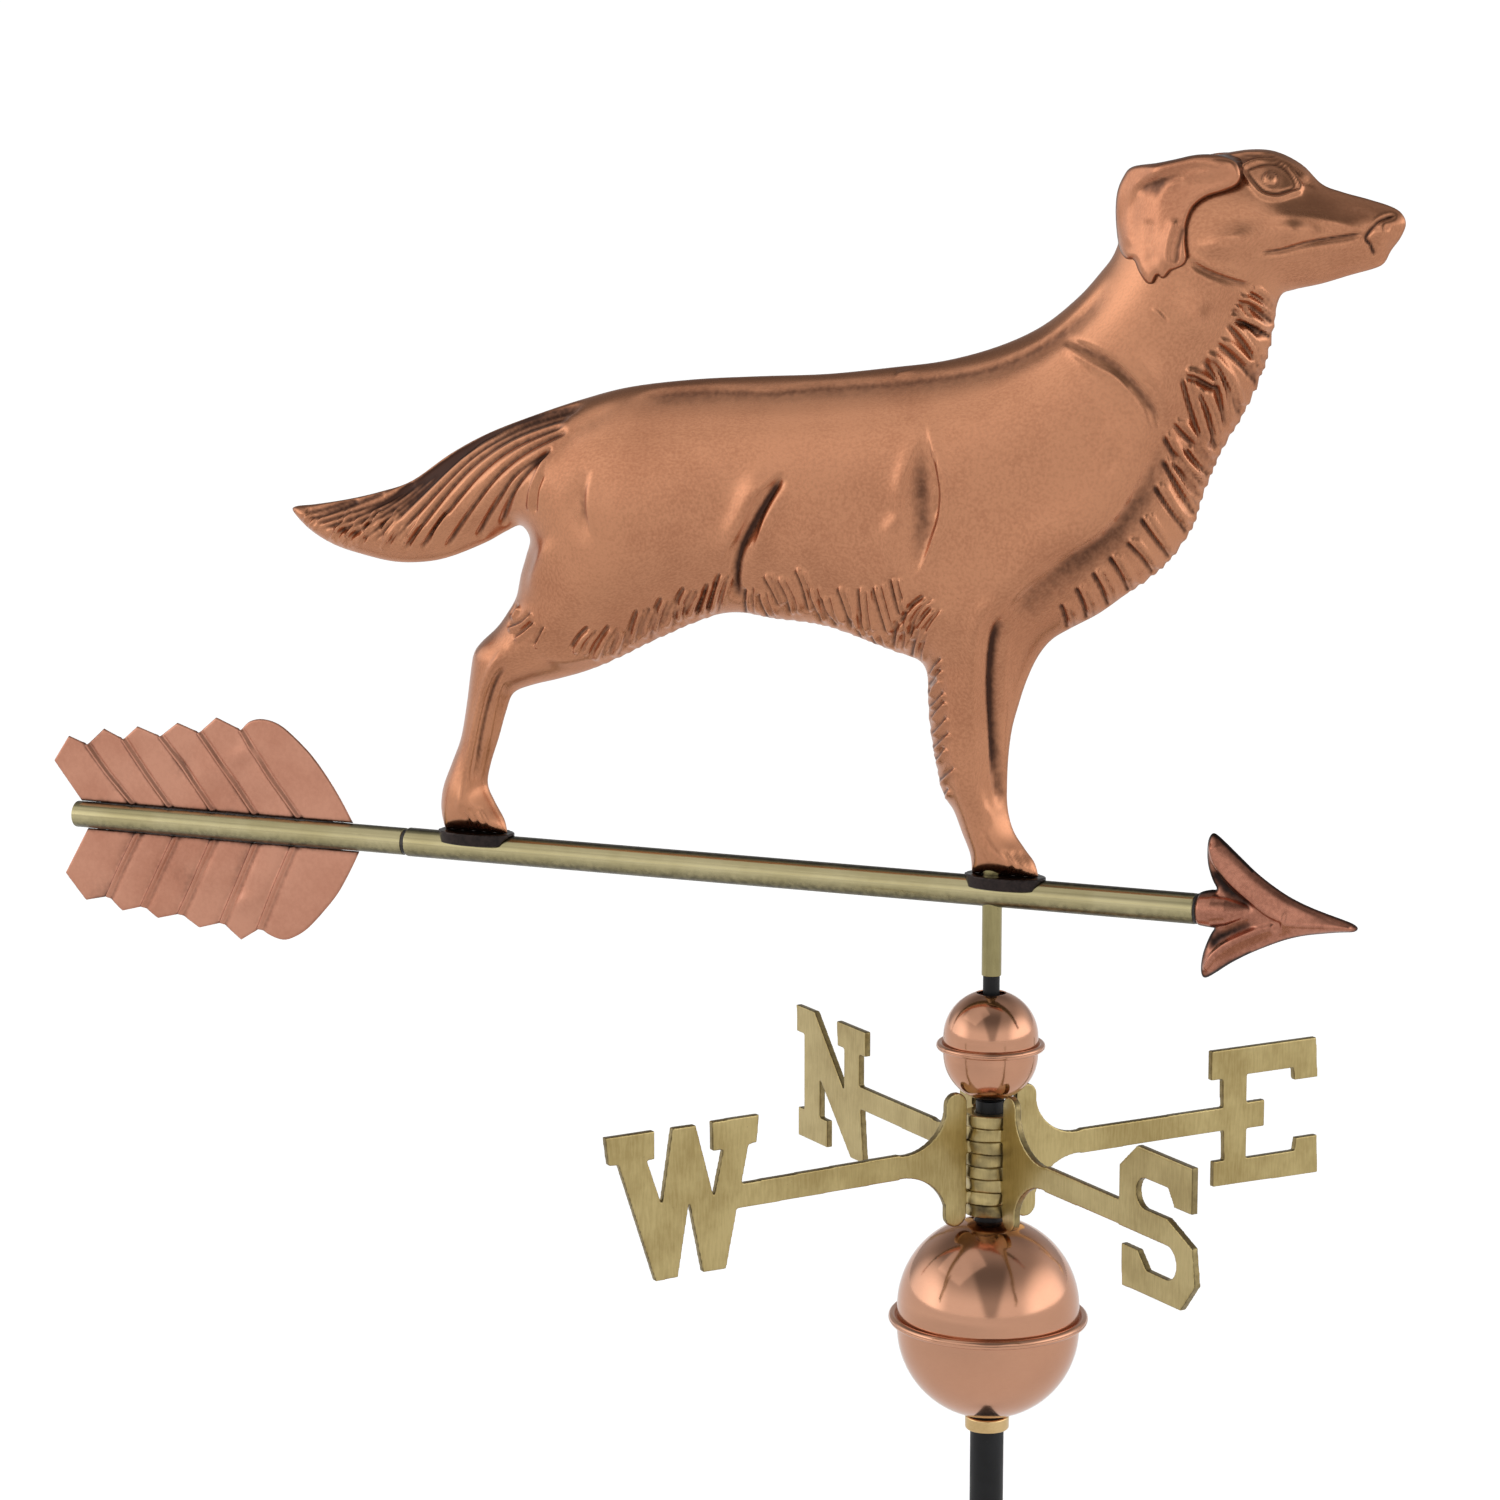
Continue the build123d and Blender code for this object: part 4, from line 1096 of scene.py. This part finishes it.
def make_arrowhead():
    outline = through(HEAD_LINE, 5, closed=True)
    pts, faces, edge = flat_mesh(outline, detail(0.42, 0.8), 1.6)
    soft = np.zeros(len(pts))
    soft[~edge] = swell(pts[~edge], outline)
    base = 4.4 * np.sqrt(1 - np.exp(-(soft / 3.4) ** 1.3))
    r = Relief((110, -50), (215, 55), 0.25)
    # crest of each barb, then the sunk web between the crests and the socket
    r.line([(125.5, 38), (129, 28), (135, 20.5), (143, 13.2), (152, 6.4), (161, 0.8), (170, -2.2)],
           1.7, 5.5, 1.5, 0.06)
    r.line([(123.6, -34), (127.6, -25.5), (134, -19), (143, -13.4), (153, -8.4), (164, -4.6)],
           1.6, 1.5, 5.0, 0.06)
    r.line([(166, -3), (180, -3.6), (194, -3.6), (206, -3.4)], 1.3, 3.4, 3.0, 0.05)
    r.line([(127.5, 25), (133, 16.5), (142, 9.2), (153, 2.2)], -1.9, 2.4, 3.4, 0.2)
    r.line([(126, -22), (132, -15), (142, -9.2), (154, -4.2)], -1.7, 3.4, 2.4, 0.2)
    marks = r.read(pts)
    # the socket is round: it swells behind the barbs, then dies away along a slight slope
    slope = 1.6 * np.clip((pts[:, 0] - 118.5) / 37.0, 0, 1)
    radius = np.interp(pts[:, 0], [118.5, 121, 128, 136, 146, 157], [7.0, 9.3, 10.0, 8.8, 5.2, 0.0])
    tube = np.sqrt(np.clip(radius ** 2 - (pts[:, 1] - slope) ** 2, 0, None))
    body = np.maximum(base + marks * smoothstep(0, 1.6, soft), RIM)
    k = 1.4                                            # how far socket and barbs blend, mm
    front = np.log(np.exp(body / k) + np.exp(tube / k)) * k
    front -= k * math.log(2) * np.exp(-np.abs(body - tube) / k)
    front = np.maximum(np.where(tube > 0, front, body), RIM)
    front[edge] = np.maximum(RIM, np.minimum(front[edge], tube[edge] + RIM))
    # painted shade: darker in the sunk marks, along the outline and in a band low on the socket where it
    # meets the barbs
    shade = np.clip(-marks * 0.30, 0, 0.9) + 0.85 * np.exp(-(soft / 1.1) ** 2)
    shade += 0.45 * np.exp(-((front - radius * 0.2) / 2.0) ** 2) * (pts[:, 0] < 150)
    for name, near in (("arrowhead_right", True), ("arrowhead_left", False)):
        obj = slab_between(name, pts, faces, front, np.zeros(len(pts)), near)
        paint(obj, np.concatenate([shade, shade]))
        place(wear(obj, "head"), "vane", name + "_half")


# ---- turned pieces ----------------------------------------------------------------------
BALL_WALL = 0.9     # mm


def ball_profile(radius, skirt, bead, hole):
    """Half a ball as a closed profile: outside dome, pole hole, inside dome, bead."""
    out = []
    top = math.asin(hole / radius)
    for a in np.linspace(math.pi / 2, top, 60):
        out.append((radius * math.sin(a), skirt + radius * math.cos(a)))
    inner = radius - BALL_WALL
    for a in np.linspace(math.asin(hole / inner), math.pi / 2, 40):
        out.append((inner * math.sin(a), skirt + inner * math.cos(a)))
    out.append((inner, 0.0))
    lip = (bead - radius) / 2
    out.append((radius + 0.5 * lip, 0.0))
    for a in np.linspace(0, math.pi, 12):
        out.append((radius + 1.05 * lip + 0.95 * lip * math.cos(a), 0.02 + lip * math.sin(a)))
    out.append((radius + 0.1, 0.6 * lip))
    return out


# Radius, straight skirt at the seam, and the holes in the upper and lower half, all in mm.
BALLS = {"large_ball": (51.5, 6.0, 8.0, 9.6), "small_ball": (26.6, 4.8, 8.3, 8.0)}


def make_balls():
    for ball, (radius, skirt, upper_hole, lower_hole) in BALLS.items():
        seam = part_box(ball + "_upper_half")[0]
        for half, side, hole in (("_upper_half", 1, upper_hole), ("_lower_half", -1, lower_hole)):
            profile = ball_profile(radius, skirt, -seam.x / MM, hole)
            profile = [(r, seam.z / MM + side * h) for r, h in profile]
            obj = lathe(ball + half + "_spun", profile, segments=220)
            place(wear(obj, "ball"), "mast", ball + half)


# CAD node, body, finish, slot, axis, outer and inner radius, corner radius and its steps.
TURNED = {
    "front_tube": ("arrow_front_tube", "vane", "tube", "tube_brass", "x", 8.5, 7.2, 0.7, 4),
    "rear_tube": ("arrow_rear_tube", "vane", "tube", "tube_brass", "x", 8.0, 7.2, 0.6, 4),
    "stem": ("stem_tube", "vane", "stem", "tube_brass", "z", 5.55, 4.75, 0.4, 4),
    "collar": ("mast_collar", "mast", "collar", "collar_brass", "z", 12.5, 9.53, 1.6, 6),
}


def make_tubes():
    for name, row in TURNED.items():
        node, body, finish, slot, axis, outer, inner, ease, steps = row
        low, high = (end["xyz".index(axis)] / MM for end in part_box(node))
        corners = [(outer, low), (outer, high), (inner, high), (inner, low)]
        obj = wear(lathe(name, rounded(corners, ease, steps), axis), finish)
        # the arrow tubes take painted shade along their top and underside
        if finish == "tube":
            paint_tube_shade(obj)
        place(obj, body, node)


def paint_tube_shade(obj):
    """Painted shade along the top of an arrow tube and along its underside."""
    up = (points_of(obj)[:, 2] / MM - ARROW_Z) / 8.5
    paint(obj, 0.8 * smoothstep(0.76, 0.96, up) + 0.78 * smoothstep(0.30, -0.95, up))


def solder_ring(name, x, radius, width, node, seed):
    """A ring of dark solder round a tube joint, a little uneven."""
    around, across = 96, 10
    phases = np.random.default_rng(seed).uniform(0, 6, 4)
    verts = []
    for i in range(around):
        a = 2 * math.pi * i / around
        lumps = wobble(a, (2, 3, 5, 9), phases)
        for k in range(across):
            b = 2 * math.pi * k / across
            r = radius - 0.9 + 0.95 * (1 + 0.22 * lumps) * math.cos(b)
            verts.append(((x + width * (1 + 0.18 * lumps) * math.sin(b)) * MM,
                          r * math.sin(a) * MM, (ARROW_Z + r * math.cos(a)) * MM))
    obj = face_outward(new_object(name, verts, ring_faces(around, across)))
    place(wear(obj, "solder"), "vane", node)


# ---- castings ---------------------------------------------------------------------------
def recast(node, name, voxel, passes):
    """A copy of a CAD casting with its corners softened, as it comes out of a sand mould."""
    obj = add_object(name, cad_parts[node].data.copy())
    skin = obj.modifiers.new("skin", "REMESH")
    skin.mode = "VOXEL"
    skin.voxel_size = voxel * MM
    soften = obj.modifiers.new("soften", "SMOOTH")
    soften.factor = 0.5
    soften.iterations = passes
    evaluated = obj.evaluated_get(bpy.context.evaluated_depsgraph_get())
    mesh = bpy.data.meshes.new_from_object(evaluated)
    obj.modifiers.clear()
    obj.data = mesh
    mesh.polygons.foreach_set("use_smooth", [True] * len(mesh.polygons))
    return obj


def make_arm(which, angle):
    """A cast arm: uneven rings on the hub, painted shade on its side faces and edges, and a darker foot."""
    obj = recast(which + "_arm", which + "_casting", detail(0.62, 1.1), 3)
    co = points_of(obj) / MM
    t = math.radians(angle)
    off = np.abs(-co[:, 0] * math.sin(t) + co[:, 1] * math.cos(t))
    reach = co[:, 0] * math.cos(t) + co[:, 1] * math.sin(t)
    radius = np.hypot(co[:, 0], co[:, 1])
    hub = smoothstep(16.0, 14.5, radius)
    turn = np.arctan2(co[:, 1], co[:, 0])
    lump = (np.sin(2 * turn + 0.35 * co[:, 2]) + np.sin(5 * turn - 0.24 * co[:, 2] + angle)
            + np.sin(3 * turn + 0.55 * co[:, 2] + 1.3))
    outer = hub * smoothstep(12.5, 14.0, radius)
    co[:, :2] *= (1 + 0.022 * (lump - 0.8) * outer)[:, None]
    obj.data.vertices.foreach_set("co", (co * MM).ravel())
    # painted shade: the plate's side faces darker, with a dark line where face meets side
    rim = 0.5 * smoothstep(1.93, 1.6, off) + 0.35 * np.exp(-((off - 1.72) / 0.16) ** 2)
    tone = 0.20 + 0.12 * math.sin(angle)
    shade = np.maximum(rim * (1 - hub), (tone + 0.10 * lump) * hub)
    paint(obj, shade + 0.16 * smoothstep(30, 18, reach))
    place(wear(obj, "cast"), "directionals", which + "_arm")


def make_saddle(node, name):
    """The dark lumpy pad under a foot; the lumps grow towards its top."""
    obj = recast(node, name, 0.6, 4)
    low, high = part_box(node)
    co = points_of(obj)
    up = np.clip((co[:, 2] - low.z) / (high.z - low.z), 0, 1)
    co[:, 2] += 0.12 * MM * up * np.sin(co[:, 0] * 900) * np.sin(co[:, 1] * 760 + 1)
    obj.data.vertices.foreach_set("co", co.ravel())
    place(wear(obj, "saddle"), "vane", node)


# ---- stage ------------------------------------------------------------------------------
FLOOR_FLAT, FLOOR_END, FLOOR_RISE = 60.0, 400.0, 16.0      # two radii and the far height, metres
FLOOR_DROP = 0.001                                         # metres below the mast's foot
WHITE = (1, 1, 1, 1)


def make_stage():
    """A pale floor that rises far away, so that no edge of it shows."""
    sectors = 48
    verts = [(0.0, 0.0, -FLOOR_DROP)]
    for r, z in ((FLOOR_FLAT, 0.0), (FLOOR_END, FLOOR_RISE)):
        for k in range(sectors):
            a = 2 * math.pi * k / sectors
            verts.append((r * math.cos(a), r * math.sin(a), z - FLOOR_DROP))
    faces = []
    for k in range(sectors):
        m = (k + 1) % sectors
        faces.append([0, 1 + k, 1 + m])
        faces.append([1 + k, 1 + sectors + k, 1 + sectors + m, 1 + m])
    floor = new_object("floor", verts, faces, smooth=False)
    floor.data.materials.append(floor_material())


def floor_material():
    """Pale to the eye; mirrored in the metal it is dimmer, most of all near the mast."""
    m = Surface("pale_floor")
    m.fix("Roughness", 0.9)
    m.fix("Specular IOR Level", 0.0)
    m.fix("Emission Color", WHITE)
    mirrored = m.add("ShaderNodeLightPath").outputs["Is Glossy Ray"]
    m.drive("Emission Strength", m.remap(mirrored, 0.0, 1.0, 0.6, 0.32))
    tone = m.remap(m.noise(3.0), 0.3, 0.7, 0.0, 1.0)
    pale = m.mix(tone, (0.93, 0.93, 0.93), (0.95, 0.95, 0.95))
    fall = m.remap(m.against("DISTANCE", (-0.35, -0.9, 0.0)), 0.2, 1.5, 0.28, 0.0)
    m.drive("Base Color", m.mix(m.math("MULTIPLY", fall, mirrored), pale, (0.05, 0.05, 0.05)))
    return m.mat


def make_lights():
    """A white room whose light is soft and uneven, and one weak soft box overhead."""
    world = bpy.data.worlds.new("studio")
    bpy.context.scene.world = world
    world.use_nodes = True
    w = Nodes(world.node_tree, "Generated")

    def facing(direction, *reach):
        """A smooth step in how squarely a direction is faced: from, to, and the light at each."""
        return w.remap(w.against("DOT_PRODUCT", direction), *reach)

    # a dark gap between the two lit sides in front, wider towards the ceiling
    across = w.math("ABSOLUTE", w.against("DOT_PRODUCT", (0.917, 0.40, 0.0)))
    rise = w.against("DOT_PRODUCT", (0.0, 0.0, 0.30))
    gap = w.remap(w.math("SUBTRACT", across, rise), 0.02, 0.22, 0.52, 0.0)
    gap = w.math("MULTIPLY", gap, facing((0.40, -0.917, 0.0), -0.1, 0.5, 0.0, 1.0))
    front = w.remap(gap, 0.0, 1.0, 1.0, 0.0)
    far = w.math("MULTIPLY", facing((-0.62, 0.78, 0.0), 0.0, 0.7, 0.98, 0.42),
                 facing((0.0, 0.0, 1.0), 0.25, 0.80, 1.0, 0.38))
    sides = w.math("ADD", facing((-0.96, -0.26, 0.05), 0.72, 0.97, 0.0, 0.85),
                   facing((0.97, 0.22, 0.05), 0.72, 0.97, 0.0, 0.85))
    light = w.math("ADD", w.math("MULTIPLY", front, far), sides)
    # straight to the eye the room is white all round
    seen = w.add("ShaderNodeLightPath").outputs["Is Camera Ray"]
    back = w.tree.nodes["Background"]
    back.inputs["Color"].default_value = WHITE
    w.link(w.math("MAXIMUM", light, seen), back.inputs["Strength"])

    box = bpy.data.lights.new("top_box", "AREA")
    box.shape = "SQUARE"
    box.size = 2.4
    box.energy = 6
    top_box = add_object("top_box", box)
    top_box.location = (-1.2, -1.0, 2.9)
    aim = Vector((0, 0, 0.6)) - top_box.location
    top_box.rotation_euler = aim.to_track_quat("-Z", "Y").to_euler()


CAMERA_REACH = 2.2719          # metres from the mast's axis, level
CAMERA_SIDE = 20.0             # degrees round from the arrow's side towards its tip
CAMERA_RISE = 617.5            # mm above the compass arms
CAMERA_DOWN, CAMERA_TURN = 9.68, 23.395      # degrees


def make_camera():
    data = bpy.data.cameras.new("camera")
    data.lens = 100.0
    data.sensor_width = 36.0
    camera = add_object("camera", data)
    side = math.radians(CAMERA_SIDE)
    camera.location = (CAMERA_REACH * math.sin(side), -CAMERA_REACH * math.cos(side),
                       (ARMS_Z + CAMERA_RISE) * MM)
    camera.rotation_euler = (math.radians(90 - CAMERA_DOWN), 0, math.radians(CAMERA_TURN))
    bpy.context.scene.camera = camera


# ---- build ------------------------------------------------------------------------------
make_stage()
make_lights()
make_camera()
make_dog()
make_feather("plume_upper", UPPER_PLUME, UPPER_TEETH, UPPER_RIBS, "upper_feather")
make_feather("plume_lower", LOWER_PLUME, LOWER_TEETH, LOWER_RIBS, "lower_feather")
solder_bead("seam_upper", -588, -405, 1, "upper_feather_solder")
solder_bead("seam_lower", -585, -401, -1, "lower_feather_solder")
make_arrowhead()
make_balls()
make_tubes()
solder_ring("head_solder", 118.6, 8.3, 1.3, "socket_solder_ring", 2)
for which, angle in ARM_TURNS.items():
    make_arm(which, angle)
make_saddle("hind_foot_saddle", "hind_pad")
make_saddle("front_foot_saddle", "front_pad")
FINISHES = {
    "black": ("mast_rod", "neck_spindle"),
    "steel": ("thrust_ball", "mast_collar_screw", "north_set_screw", "east_set_screw",
              "south_set_screw", "west_set_screw"),
    "stem": ("stem_cap",),
    "solder": ("tail_joint_ferrule",),
    "tube": ("tail_end_cap",),
}
for finish, nodes in FINISHES.items():
    for node in nodes:
        wear(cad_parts[node], finish)

bpy.context.scene.view_settings.view_transform = "Standard"
